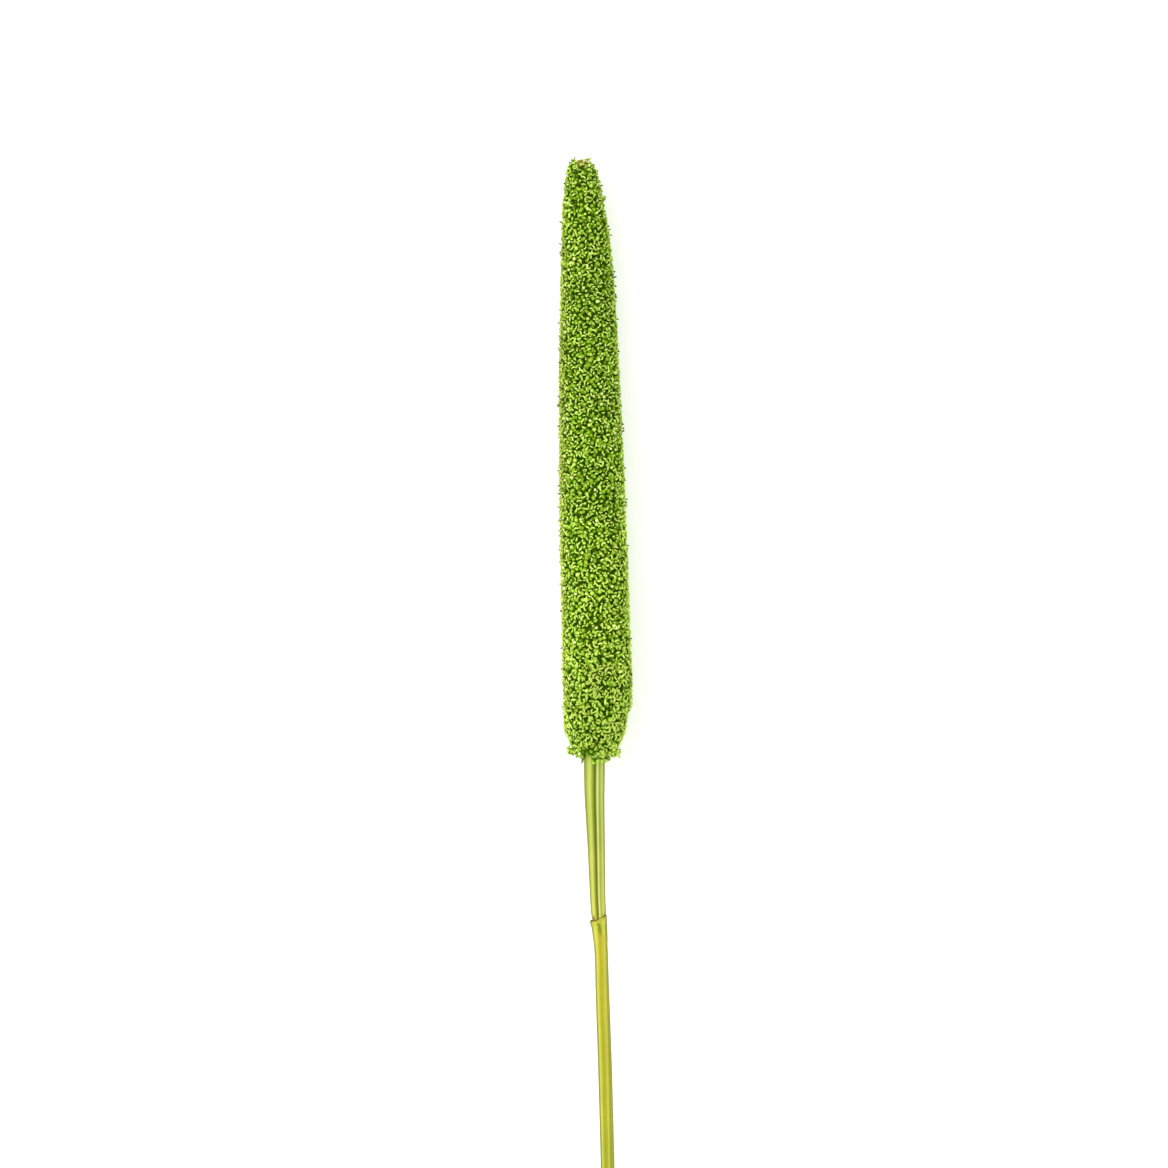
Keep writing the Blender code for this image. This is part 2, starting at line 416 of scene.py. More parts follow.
class Effects:
    """Shader node groups that more than one finish uses, each made once."""

    patch_light: Climb = (0.3, 0.7, 0.93, 1.07)
    fibre_noises = (("Bands", 2.2, 2.0), ("Lines", 8.0, 3.0))
    fibre_edge: Climb = (0.32, 0.68)

    @staticmethod
    def _start(
        name: str, inputs: Mapping[str, tuple[str, Any]], outputs: Mapping[str, str]
    ) -> NodeTree:
        """Make an empty group.

        Args:
            name: The group's name.
            inputs: Socket type and value for each input's name.
            outputs: Socket type for each output's name.

        Returns:
            The group, with its input and output nodes in it.
        """
        tree = bpy.data.node_groups.new(name, "ShaderNodeTree")
        for title, (kind, value) in inputs.items():
            tree.interface.new_socket(name=title, in_out="INPUT", socket_type=kind).default_value = value
        for title, kind in outputs.items():
            tree.interface.new_socket(name=title, in_out="OUTPUT", socket_type=kind)
        tree.nodes.new("NodeGroupInput")
        tree.nodes.new("NodeGroupOutput")
        return tree

    @classmethod
    def uneven_growth(cls) -> NodeTree:
        """Return the group that makes a plant colour uneven.

        Broad patches turn the colour towards yellow or deepen it, and fine
        specks lighten or darken it.
        """
        name = "uneven_growth"
        if name in bpy.data.node_groups:
            return bpy.data.node_groups[name]
        tree = cls._start(
            name,
            {
                "Colour": ("NodeSocketColor", (0.2, 0.4, 0.05, 1.0)),
                "Place": ("NodeSocketVector", (0.0, 0.0, 0.0)),
                "Patch Scale": ("NodeSocketFloat", 60.0),
                "Speck Scale": ("NodeSocketFloat", 900.0),
                "Hue Drift": ("NodeSocketFloat", 0.05),
                "Speck Depth": ("NodeSocketFloat", 0.5),
            },
            {"Colour": "NodeSocketColor"},
        )
        sketch = Sketch(tree)
        given = tree.nodes["Group Input"].outputs
        patches = sketch.noise(given["Place"], 1.0)
        sketch.wire(given["Patch Scale"], patches.node.inputs["Scale"])
        specks = sketch.noise(given["Place"], 1.0, 1.0)
        sketch.wire(given["Speck Scale"], specks.node.inputs["Scale"])
        drift = sketch.times(sketch.work_out("SUBTRACT", 0.5, patches), given["Hue Drift"])
        light = sketch.times(sketch.work_out("SUBTRACT", specks, 0.5), given["Speck Depth"])
        light = sketch.work_out("ADD", light, sketch.span(patches, *cls.patch_light))
        turned = sketch.add(
            "HueSaturation",
            {"Hue": sketch.work_out("ADD", drift, 0.5), "Value": light, "Color": given["Colour"]},
        )
        sketch.wire(turned.outputs[0], tree.nodes["Group Output"].inputs["Colour"])
        return tree

    @classmethod
    def lengthwise_fibres(cls) -> NodeTree:
        """Return the group that draws fibres along a stem or a sheath.

        It reads the painted fibre vector: two numbers that go round the stem
        and one that runs slowly along it.
        """
        name = "lengthwise_fibres"
        if name in bpy.data.node_groups:
            return bpy.data.node_groups[name]
        tree = cls._start(
            name,
            {"Fibre": ("NodeSocketVector", (0.0, 0.0, 0.0)), "Fineness": ("NodeSocketFloat", 1.0)},
            {"Bands": "NodeSocketFloat", "Lines": "NodeSocketFloat"},
        )
        sketch = Sketch(tree)
        given = tree.nodes["Group Input"].outputs
        inputs = {0: given["Fibre"], "Scale": given["Fineness"]}
        scaled = sketch.add("VectorMath", inputs, operation="SCALE")
        for title, scale, detail in cls.fibre_noises:
            height = sketch.noise(scaled.outputs[0], scale, detail)
            sketch.wire(sketch.span(height, *cls.fibre_edge), tree.nodes["Group Output"].inputs[title])
        return tree


def start_material(name: str, **values: Any) -> tuple[Material, Sketch]:
    """Start a Principled material.

    Args:
        name: The material's name.
        **values: The shader's plain values, with _ for a space in each name.

    Returns:
        The material and a sketch of its nodes.
    """
    material = bpy.data.materials.new(name)
    material.use_nodes = True
    shader = material.node_tree.nodes["Principled BSDF"]
    for key, value in values.items():
        shader.inputs[key.replace("_", " ")].default_value = value
    return material, Sketch(material.node_tree)


def read_skin(sketch: Sketch, fineness: float) -> tuple[NodeSocket, ...]:
    """Read what is painted on the stem and on its sheath.

    Args:
        sketch: The material's nodes.
        fineness: How fine its fibres are.

    Returns:
        The fibres' bands and lines, how far the skin faces up, how far it faces up or down, and the stripes.
    """
    fibre = sketch.painted("fibre", "Vector")
    fibres = sketch.group(Effects.lengthwise_fibres(), {"Fibre": fibre, "Fineness": fineness}).outputs
    upward = sketch.axis(fibre, "Y")
    facing = sketch.work_out("ABSOLUTE", upward)
    return fibres["Bands"], fibres["Lines"], upward, facing, sketch.painted("stripe")


@dataclass(frozen=True)
class FloretFinish:
    """Green florets: deep green at the foot, pale lime where they reach out. The dark at the foot is partly
    their own green and partly painted shade between them; the head's left edge gets painted light, and strays
    at its edge get painted shade.

    Each climb is read from what its name ends in: the painted reach, tone or
    paleness, the place across or along the head, or the distance from its tip.
    """

    deep: Colour = srgb(72, 112, 0)
    middle: Colour = srgb(146, 192, 34)
    pale: Colour = srgb(226, 251, 122)
    glint: Colour = srgb(238, 254, 152)
    # Painted shade: dark olive on strays that stick out past the head's edge.
    shaded_stray: Colour = srgb(74, 94, 14)
    # Painted light: a paler warm colour on the head's left edge, on the lamp's side.
    lit_edge: Colour = srgb(176, 158, 96)
    head_tip: Colour = srgb(118, 96, 6)
    tip_round: Colour = srgb(212, 206, 98)
    head_base: Colour = srgb(194, 214, 92)
    tip_patch: Row = (-0.0050, 0.1984, 0.0126)
    middle_reach: Climb = (0.15, 0.75)
    pale_reach: Climb = (0.5, 0.9)
    pale_paleness: Climb = (-0.2, 1.2, -0.14, 1.14)
    base_along: Climb = (0.1, -0.005, 0.0, 0.62)
    base_reach: Climb = (0.4, 0.9)
    lit_edge_across: Climb = (-0.0095, -0.0125, 0.0, 0.3)
    tip_round_distance: Climb = (0.0011, 0.0034, 0.75, 0.0)
    head_tip_distance: Climb = (0.0003, 0.0012, 0.85, 0.0)
    glint_paleness: Climb = (1.1, 1.6)
    shaded_stray_paleness: Climb = (-0.1, -0.9)
    hue_tone: Climb = (0.0, 1.0, 0.493, 0.506)
    light_tone: Climb = (0.0, 1.0, 0.86, 1.14)
    light_along: Climb = (0.13, 0.05, 0.97, 1.12)
    growth: Row = (70.0, 1800.0, 0.02, 0.4)
    grain: float = 2600.0
    relief: Row = (0.06, 0.4)
    roughness: float = 0.5
    specular: float = 0.06

    def make(self) -> Material:
        """Return the material, which reads the painted reach, tone and paleness."""
        material, sketch = start_material(
            "floret_green", Roughness=self.roughness, Specular_IOR_Level=self.specular
        )
        reach, tone, paleness = (sketch.painted(name) for name in ("reach", "tone", "paleness"))
        place = sketch.place()
        across, along = sketch.axis(place, "X"), sketch.axis(place, "Y")
        apart = sketch.add("VectorMath", {0: place, 1: self.tip_patch}, operation="DISTANCE").outputs["Value"]
        pale = sketch.times(sketch.span(reach, *self.pale_reach), sketch.span(paleness, *self.pale_paleness))
        base = sketch.times(sketch.span(along, *self.base_along), sketch.span(reach, *self.base_reach))
        # The climb by reach is partly the florets' own colour and partly painted shade, darker the lower a
        # point sits between them.
        colour = sketch.lay_over(
            self.deep,
            (sketch.span(reach, *self.middle_reach), self.middle),
            (pale, self.pale),
            (base, self.head_base),
            (sketch.span(across, *self.lit_edge_across), self.lit_edge),
            (sketch.span(apart, *self.tip_round_distance), self.tip_round),
            (sketch.span(apart, *self.head_tip_distance), self.head_tip),
            (sketch.span(paleness, *self.glint_paleness), self.glint),
            (sketch.span(paleness, *self.shaded_stray_paleness), self.shaded_stray),
        )
        light = sketch.times(sketch.span(tone, *self.light_tone), sketch.span(along, *self.light_along))
        turned = {"Hue": sketch.span(tone, *self.hue_tone), "Value": light, "Color": colour}
        colour = sketch.grown(sketch.add("HueSaturation", turned).outputs[0], *self.growth)
        sketch.cover(colour, sketch.noise(place, self.grain), self.relief)
        return material


@dataclass(frozen=True)
class CoreFinish:
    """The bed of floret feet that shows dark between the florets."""

    dark: Colour = srgb(48, 80, 0)
    light: Colour = srgb(90, 132, 6)
    cell_scale: float = 900.0
    cell_edge: Climb = (0.1, 0.7)
    relief: Row = (0.6, 0.8)
    roughness: float = 0.7
    specular: float = 0.05

    def make(self) -> Material:
        """Return the material."""
        material, sketch = start_material(
            "floret_bed_green", Roughness=self.roughness, Specular_IOR_Level=self.specular
        )
        cells = sketch.cells(self.cell_scale)
        colour = sketch.grown(sketch.blend(sketch.span(cells, *self.cell_edge), self.light, self.dark))
        sketch.cover(colour, sketch.work_out("SUBTRACT", 1.0, cells), self.relief)
        return material


@dataclass(frozen=True)
class StemFinish:
    """The stem's skin: green under the head, straw below its joint, with pale ribs and dark furrows. Some
    ribs and furrows are partly a painted highlight and painted shade; its sides, its groove and a strip above
    the sheath's rim get painted shade.

    Each climb is read from what its name ends in: the place along the stem,
    how far the skin faces up (or up or down, for facing), or the stripes.
    """

    under_head: Colour = srgb(180, 200, 74)
    above_joint: Colour = srgb(201, 206, 80)
    straw: Colour = srgb(206, 198, 60)
    foot: Colour = srgb(188, 190, 54)
    # Pale ribs, whose colour is partly a painted highlight on the upper left.
    rib_and_highlight: Colour = srgb(206, 213, 104)
    dry_rib_and_highlight: Colour = srgb(210, 214, 84)
    furrow: Colour = srgb(142, 160, 32)
    dry_furrow: Colour = srgb(182, 166, 22)
    foot_furrow: Colour = srgb(166, 166, 24)
    side_furrow: Colour = srgb(140, 154, 30)
    # Painted shade on the stem's sides, where the skin faces across.
    flank_shade: Colour = srgb(114, 118, 6)
    groove: Colour = srgb(98, 112, 0)
    ridge: Colour = srgb(230, 235, 150)
    brown: Colour = srgb(132, 104, 10)
    dry_along: Climb = (-0.074, -0.082)
    upper_along: Climb = (-0.014, -0.062)
    foot_along: Climb = (-0.085, -0.17)
    furrow_along: Climb = (-0.09, -0.15)
    furrow_up: Climb = (0.65, 0.92)
    flank_shade_facing: Climb = (0.72, 0.3, 0.0, 0.8)
    rib_and_highlight_stripe: Climb = (0.05, 1.0)
    furrow_stripe: Climb = (-0.05, -1.0)
    band_share: float = 0.25
    line_share: float = 0.22
    fineness: float = 1.0
    growth: Row = (45.0, 1500.0, 0.03, 0.25)
    relief: Row = (0.05, 0.6)
    roughness: float = 0.4
    specular: float = 0.15

    def make(self) -> Material:
        """Return the material, which reads the painted fibre, stripe, groove, ridge and brown."""
        material, sketch = start_material(
            "stem_yellow_green", Roughness=self.roughness, Specular_IOR_Level=self.specular
        )
        bands, lines, upward, facing, stripe = read_skin(sketch, self.fineness)
        along = sketch.axis(sketch.place(), "Y")
        dry = sketch.span(along, *self.dry_along)
        upper = sketch.blend(sketch.span(along, *self.upper_along), self.under_head, self.above_joint)
        lower = sketch.blend(sketch.span(along, *self.foot_along), self.straw, self.foot)
        furrow = sketch.blend(sketch.span(along, *self.furrow_along), self.dry_furrow, self.foot_furrow)
        furrow = sketch.blend(sketch.span(upward, *self.furrow_up), self.side_furrow, furrow)
        furrow = sketch.blend(dry, self.furrow, furrow)
        colour = sketch.lay_over(upper, (dry, lower), (sketch.times(bands, self.band_share), furrow))
        colour = sketch.blend(sketch.times(lines, self.line_share), colour, furrow, "MULTIPLY")
        colour = sketch.lay_over(
            colour,
            (sketch.span(stripe, *self.rib_and_highlight_stripe), sketch.blend(dry, self.rib_and_highlight, self.dry_rib_and_highlight)),
            (sketch.span(stripe, *self.furrow_stripe), furrow),
            (sketch.span(facing, *self.flank_shade_facing), self.flank_shade),
            (sketch.painted("ridge"), self.ridge),
            # Painted shade: the groove's paint darkens the groove and seam as shade in a crease, and carries
            # a painted shadow above the sheath's rim and dark marks by the joint.
            (sketch.painted("groove"), self.groove),
            (sketch.painted("brown"), self.brown),
        )
        sketch.cover(sketch.grown(colour, *self.growth), lines, self.relief)
        return material


@dataclass(frozen=True)
class PithFinish:
    """The stem's cut face: pale pith with the ends of darker strands in it."""

    pith: Colour = srgb(232, 232, 186)
    strand: Colour = srgb(158, 164, 84)
    cell_scale: float = 1700.0
    cell_edge: Climb = (0.16, 0.3)
    growth: Row = (300.0, 4000.0)
    relief: Row = (0.1, 0.5)
    roughness: float = 0.75

    def make(self) -> Material:
        """Return the material."""
        material, sketch = start_material("stem_pith", Roughness=self.roughness)
        cells = sketch.cells(self.cell_scale)
        colour = sketch.blend(sketch.span(cells, *self.cell_edge), self.strand, self.pith)
        sketch.cover(sketch.grown(colour, *self.growth), cells, self.relief)
        return material


@dataclass(frozen=True)
class SheathFinish:
    """The leaf sheath's stub: straw like the stem below it, browned in spots along its rim. Its sides get
    painted shade, and some of its pale ribs and one pale patch are partly a painted highlight.
    """

    straw: Colour = srgb(208, 204, 66)
    green: Colour = srgb(128, 146, 20)
    dry_furrow: Colour = srgb(182, 166, 22)
    rib_and_highlight: Colour = srgb(214, 215, 90)
    brown: Colour = srgb(120, 90, 4)
    # Painted shade on the sheath's sides, where the skin faces across.
    flank_shade: Colour = srgb(116, 120, 8)
    furrow_along: Climb = (-0.0775, -0.0815)
    flank_shade_facing: Climb = (0.72, 0.3, 0.0, 0.78)
    rib_and_highlight_stripe: Climb = (0.05, 1.0)
    furrow_stripe: Climb = (-0.05, -1.0)
    blotch_scale: float = 700.0
    blotch_edge: Climb = (0.5, 0.62)
    band_share: float = 0.25
    fineness: float = 1.2
    growth: Row = (120.0, 2000.0, 0.03, 0.3)
    relief: Row = (0.06, 0.7)
    roughness: float = 0.5
    specular: float = 0.2

    def make(self) -> Material:
        """Return the material, which reads the painted fibre, stripe and rim."""
        material, sketch = start_material(
            "sheath_straw", Roughness=self.roughness, Specular_IOR_Level=self.specular
        )
        bands, lines, _, facing, stripe = read_skin(sketch, self.fineness)
        place = sketch.place()
        dry = sketch.span(sketch.axis(place, "Y"), *self.furrow_along)
        furrow = sketch.blend(dry, self.green, self.dry_furrow)
        blotch = sketch.span(sketch.noise(place, self.blotch_scale), *self.blotch_edge)
        colour = sketch.lay_over(
            self.straw,
            (sketch.times(bands, self.band_share), furrow),
            (sketch.span(stripe, *self.rib_and_highlight_stripe), self.rib_and_highlight),
            (sketch.span(stripe, *self.furrow_stripe), furrow),
            (sketch.span(facing, *self.flank_shade_facing), self.flank_shade),
            (sketch.times(sketch.painted("rim"), blotch), self.brown),
        )
        sketch.cover(sketch.grown(colour, *self.growth), lines, self.relief)
        return material


@dataclass(frozen=True)
class FloorFinish:
    """A plain white table top, lit a little from below like a light table."""

    white: Colour = (0.93, 0.93, 0.93, 1.0)
    pale: Colour = (0.97, 0.97, 0.97, 1.0)
    cloud_scale: float = 3.0
    roughness: float = 0.9
    glow: float = 0.36

    def make(self) -> Material:
        """Return the material."""
        material, sketch = start_material(
            "table_white", Roughness=self.roughness, Emission_Color=self.pale, Emission_Strength=self.glow
        )
        sketch.cover(sketch.blend(sketch.noise(sketch.place(), self.cloud_scale), self.white, self.pale))
        return material


@dataclass(frozen=True)
class FloretShape:
    """The arrays of a floret that has been modelled, in millimetres."""

    points: np.ndarray
    loops: np.ndarray
    face_sizes: np.ndarray
    unwrapped: np.ndarray


class FloretForm(Enum):
    """Forms of floret: sides, bend in degrees, flatness, and rows of height and radius."""

    GRAIN = (5, 15.0, 1.0, ((0.0, 0.42), (0.45, 0.70), (1.0, 0.82), (1.5, 0.64), (1.80, 0.26)))
    FINGER = (5, 42.0, 1.0, ((0.0, 0.24), (0.6, 0.24), (1.2, 0.31), (1.65, 0.39), (1.95, 0.19)))
    CURL = (
        6,
        140.0,
        1.0,
        ((0.0, 0.22), (0.45, 0.27), (0.9, 0.31), (1.3, 0.32), (1.7, 0.29), (1.95, 0.22), (2.1, 0.11)),
    )
    PETAL = (6, 65.0, 0.5, ((0.0, 0.18), (0.7, 0.31), (1.5, 0.43), (2.3, 0.33), (2.9, 0.09)))

    def __init__(
        self, sides: int, bend: float, flatness: float, girths: tuple[tuple[float, float], ...]
    ) -> None:
        """Name the values of a form.

        Args:
            sides: Corners of each cross-section.
            bend: How far it bends from foot to end, in degrees.
            flatness: Its thickness as a share of its width.
            girths: Rows of height and radius, in millimetres.
        """
        self.sides = sides
        self.bend = bend
        self.flatness = flatness
        self.girths = girths

    @property
    def arch(self) -> float:
        """Radius of the arch that the floret bends in, in millimetres."""
        return self.girths[-1][0] / math.radians(self.bend)

    def model(self) -> FloretShape:
        """Model the floret once, upright at the origin, and take its arrays.

        Returns:
            The floret's points, faces and unwrapping.
        """
        bpy.ops.object.select_all(action="DESELECT")
        bpy.ops.mesh.primitive_circle_add(vertices=self.sides, radius=self.girths[0][1], fill_type="NGON")
        floret = bpy.context.active_object
        with editing(floret):
            bpy.ops.transform.resize(value=(1.0, self.flatness, 1.0))
            for (low, before), (high, after) in zip(self.girths, self.girths[1:]):
                bpy.ops.mesh.extrude_region_move(TRANSFORM_OT_translate={"value": (0.0, 0.0, high - low)})
                bpy.ops.transform.resize(value=(after / before, after / before, 1.0))
            bpy.ops.mesh.select_all(action="SELECT")
            bpy.ops.mesh.normals_make_consistent(inside=False)
            bpy.ops.uv.smart_project(island_margin=0.03)
        apply_modifier(
            floret, "SIMPLE_DEFORM", deform_method="BEND", deform_axis="X", angle=math.radians(self.bend)
        )
        mesh = floret.data
        loops = np.empty(len(mesh.loops), dtype=np.int64)
        mesh.loops.foreach_get("vertex_index", loops)
        unwrapped = np.empty(len(mesh.loops) * 2)
        mesh.uv_layers.active.data.foreach_get("uv", unwrapped)
        shape = FloretShape(
            points=read_points(mesh),
            loops=loops,
            face_sizes=np.array([len(face.vertices) for face in mesh.polygons]),
            unwrapped=unwrapped.reshape(-1, 2),
        )
        bpy.data.objects.remove(floret)
        bpy.data.meshes.remove(mesh)
        return shape


@dataclass
class Planting:
    """Florets of one form that are to be set, one row or number for each.

    Distances are in millimetres and angles in radians.
    """

    seat: np.ndarray
    shift: np.ndarray
    scale: np.ndarray
    lay: np.ndarray
    nod: np.ndarray
    roll: np.ndarray
    top: np.ndarray
    tone: np.ndarray
    paleness: np.ndarray


@dataclass(frozen=True)
class Tuft:
    """Florets that fan out from one foot, beyond the head's even form.

    Angle and distance place the foot round the head's middle. The slant is
    the tuft's way, from 90 for the tip's side to -90 for the stem's. Angles
    are in degrees and the rest is in millimetres.
    """

    angle: float
    y: float
    distance: float
    slant: float
    spread: float
    reach: float
    count: int
    size: float = 1.15


@dataclass
class Seats:
    """Places on the head where florets stand, one row or number for each."""

    points: np.ndarray
    frames: np.ndarray
    growth: np.ndarray
    mood: np.ndarray


@dataclass(frozen=True)
class Habit:
    """What florets of one kind are drawn from.

    Scale, top and paleness are ranges, the nod is a middle and a spread, and
    lay and tone are spreads.
    """

    scale: Row
    top: Row
    paleness: Row
    lay: float = 0.3
    nod: Row = (0.0, 0.3)
    tone: float = 0.15

    def plant(
        self, rng: Generator, seats: Seats, seat: np.ndarray, **known: np.ndarray
    ) -> Planting:
        """Draw how florets stand, always in the same order.

        Args:
            rng: The seeded source of chance.
            seats: Places on the head.
            seat: The seats that get a floret.
            **known: Values of the planting that aren't drawn here.

        Returns:
            The planting.
        """
        count = len(seat)
        values = {"seat": seat, "shift": np.zeros((count, 2)), **known}
        draws = {
            "scale": lambda: seats.growth[seat] * rng.uniform(*self.scale, count),
            "lay": lambda: rng.normal(0.0, self.lay, count),
            "nod": lambda: rng.normal(*self.nod, count),
            "roll": lambda: rng.uniform(0.0, math.tau, count),
            "top": lambda: rng.uniform(*self.top, count),
            "tone": lambda: np.clip(seats.mood[seat] + rng.normal(0.0, self.tone, count), 0.0, 1.0),
            "paleness": lambda: rng.uniform(*self.paleness, count),
        }
        for name, draw in draws.items():
            if name not in known:
                values[name] = draw()
        return Planting(**values)


class HeadSurface:
    """The head's outer form over its florets' tips."""

    rows_per_span = 24
    least_girth = 2.0
    tuft_moods = (0.2, 0.8)

    def __init__(self, stations: Sequence[Row], growth: Sequence[Row]) -> None:
        """Measure the profile.

        Args:
            stations: Rows of y, x, z and radius, from tip to base.
            growth: Rows of y and how large florets grow there, from base to tip.
        """
        self.rows = smooth_curve(stations, self.rows_per_span)
        steps = np.diff(self.rows[:, [0, 3]], axis=0)
        lengths = np.linalg.norm(steps, axis=1)
        self.run = np.concatenate(((0.0,), np.cumsum(lengths)))
        self.growth = np.interp(self.rows[:, 0], *np.array(growth).T)
        crowd = self.rows[:, 3] / self.growth ** 2
        self.room = np.concatenate(((0.0,), np.cumsum(lengths * 0.5 * (crowd[1:] + crowd[:-1]))))
        self.slope = np.gradient(self.rows[:, [0, 3]], self.run, axis=0)

    def seats(self, count: int, jitter: float, rng: Generator) -> Seats:
        """Lay out seats in a spiral, closer together where florets are small.

        Args:
            count: How many seats to lay out.
            jitter: How far a seat may stray along the head, in millimetres.
            rng: The seeded source of chance.

        Returns:
            The seats, from tip to base.
        """
        share = (np.arange(count) + 0.5) / count
        run = np.interp(share * self.room[-1], self.room, self.run)
        run = np.clip(run + rng.uniform(-jitter, jitter, count), 0.0, self.run[-1])
        y, x, z, radius = (np.interp(run, self.run, column) for column in self.rows.T)
        angle = np.arange(count) * GOLDEN_ANGLE
        angle += rng.uniform(-jitter, jitter, count) / np.maximum(radius, self.least_girth)
        fall, swell = (np.interp(run, self.run, column) for column in self.slope.T)
        size = np.hypot(fall, swell)
        fall, swell = fall / size, swell / size
        cos, sin = np.cos(angle), np.sin(angle)
        out = np.stack((-fall * cos, swell, -fall * sin), axis=1)
        along = np.stack((-swell * cos, -fall, -swell * sin), axis=1)
        return Seats(
            points=np.stack((x + radius * cos, y, z + radius * sin), axis=1),
            frames=np.stack((np.cross(along, out), along, out), axis=2),
            growth=np.interp(run, self.run, self.growth),
            mood=rng.uniform(0.0, 1.0, count),
        )

    def middle(self, y: Any) -> tuple[Any, Any]:
        """Return the place across and the height of the head's middle at places along Y."""
        return tuple(np.interp(-y, -self.rows[:, 0], self.rows[:, column]) for column in (1, 2))

    def tuft_seats(self, tufts: Sequence[Tuft], rng: Generator) -> Seats:
        """Lay out seats at the ends of tufts that fan out.

        Args:
            tufts: The tufts.
            rng: The seeded source of chance.

        Returns:
            The seats, tuft by tuft.
        """
        points, frames, growth = [], [], []
        for tuft in tufts:
            x, z = self.middle(tuft.y)
            angle, slant = math.radians(tuft.angle), math.radians(tuft.slant)
            cos, sin = math.cos(angle), math.sin(angle)
            out = np.array((math.cos(slant) * cos, math.sin(slant), math.cos(slant) * sin))
            along = np.array((-math.sin(slant) * cos, math.cos(slant), -math.sin(slant) * sin))
            basis = np.stack((np.cross(along, out), along, out), axis=1)
            number = np.arange(tuft.count)
            lean = math.radians(tuft.spread) * np.sqrt((number + 0.3) / tuft.count)
            fan = basis @ turn(2, number * GOLDEN_ANGLE + rng.uniform(0.0, math.tau)) @ turn(0, lean)
            foot = np.array((x + tuft.distance * cos, tuft.y, z + tuft.distance * sin))
            points.append(foot + tuft.reach * fan[:, :, 2])
            frames.append(fan)
            growth.append(np.full(tuft.count, tuft.size))
        count = sum(tuft.count for tuft in tufts)
        return Seats(
            points=np.concatenate(points),
            frames=np.concatenate(frames),
            growth=np.concatenate(growth),
            mood=rng.uniform(*self.tuft_moods, count),
        )


def turn(axis: int, angles: np.ndarray) -> np.ndarray:
    """Return one rotation matrix for each angle.

    Args:
        axis: 0, 1 or 2 for X, Y or Z.
        angles: The angles in radians.

    Returns:
        The matrices, one for each angle.
    """
    first, second = [(1, 2), (2, 0), (0, 1)][axis]
    matrices = np.zeros((len(angles), 3, 3))
    matrices[:, axis, axis] = 1.0
    matrices[:, first, first] = np.cos(angles)
    matrices[:, second, second] = np.cos(angles)
    matrices[:, first, second] = -np.sin(angles)
    matrices[:, second, first] = np.sin(angles)
    return matrices


class FloretMesh:
    """One mesh that florets of several forms are joined in."""

    cell_margin = 0.06

    def __init__(self, cells: int) -> None:
        """Start an empty mesh.

        Args:
            cells: How many florets it will hold at most.
        """
        self.grid = math.ceil(math.sqrt(cells))
        self.florets = 0
        self.points: list[np.ndarray] = []
        self.loops: list[np.ndarray] = []
        self.face_sizes: list[np.ndarray] = []
        self.unwrapped: list[np.ndarray] = []
        self.paints: dict[str, list[np.ndarray]] = {"reach": [], "tone": [], "paleness": []}

    def add(self, shape: FloretShape, points: np.ndarray, paints: Mapping[str, np.ndarray]) -> None:
        """Join florets of one form to the mesh.

        Args:
            shape: The form that was modelled.
            points: Each floret's points, in millimetres.
            paints: A number for each floret's each point, by name.
        """
        count, size = points.shape[:2]
        start = sum(len(block) for block in self.points)
        firsts = start + size * np.arange(count)
        cell = self.florets + np.arange(count)
        corner = np.stack((cell % self.grid, cell // self.grid), axis=1)
        inset = self.cell_margin + shape.unwrapped * (1.0 - 2.0 * self.cell_margin)
        self.points.append(points.reshape(-1, 3))
        self.loops.append((firsts[:, None] + shape.loops[None, :]).ravel())
        self.face_sizes.append(np.tile(shape.face_sizes, count))
        self.unwrapped.append(((corner[:, None, :] + inset[None, :, :]) / self.grid).reshape(-1, 2))
        for name, values in paints.items():
            self.paints[name].append(np.broadcast_to(values, (count, size)).ravel())
        self.florets += count

    def finish(self, name: str, material: Material) -> Object:
        """Turn what was joined into an object.

        Args:
            name: The piece's name.
            material: Its finish.

        Returns:
            The object, at the origin.
        """
        points = np.concatenate(self.points) * MM
        loops = np.concatenate(self.loops)
        sizes = np.concatenate(self.face_sizes)
        mesh = bpy.data.meshes.new(name)
        mesh.vertices.add(len(points))
        mesh.vertices.foreach_set("co", points.ravel())
        mesh.loops.add(len(loops))
        mesh.loops.foreach_set("vertex_index", loops)
        mesh.polygons.add(len(sizes))
        mesh.polygons.foreach_set("loop_start", np.concatenate(((0,), np.cumsum(sizes)[:-1])))
        mesh.update(calc_edges=True)
        layer = mesh.uv_layers.new(name="OFBake")
        layer.data.foreach_set("uv", np.concatenate(self.unwrapped).ravel())
        for key, values in self.paints.items():
            paint(mesh, key, np.concatenate(values))
        mesh.shade_smooth()
        mesh.materials.append(material)
        piece = bpy.data.objects.new(name, mesh)
        bpy.context.scene.collection.objects.link(piece)
        return piece


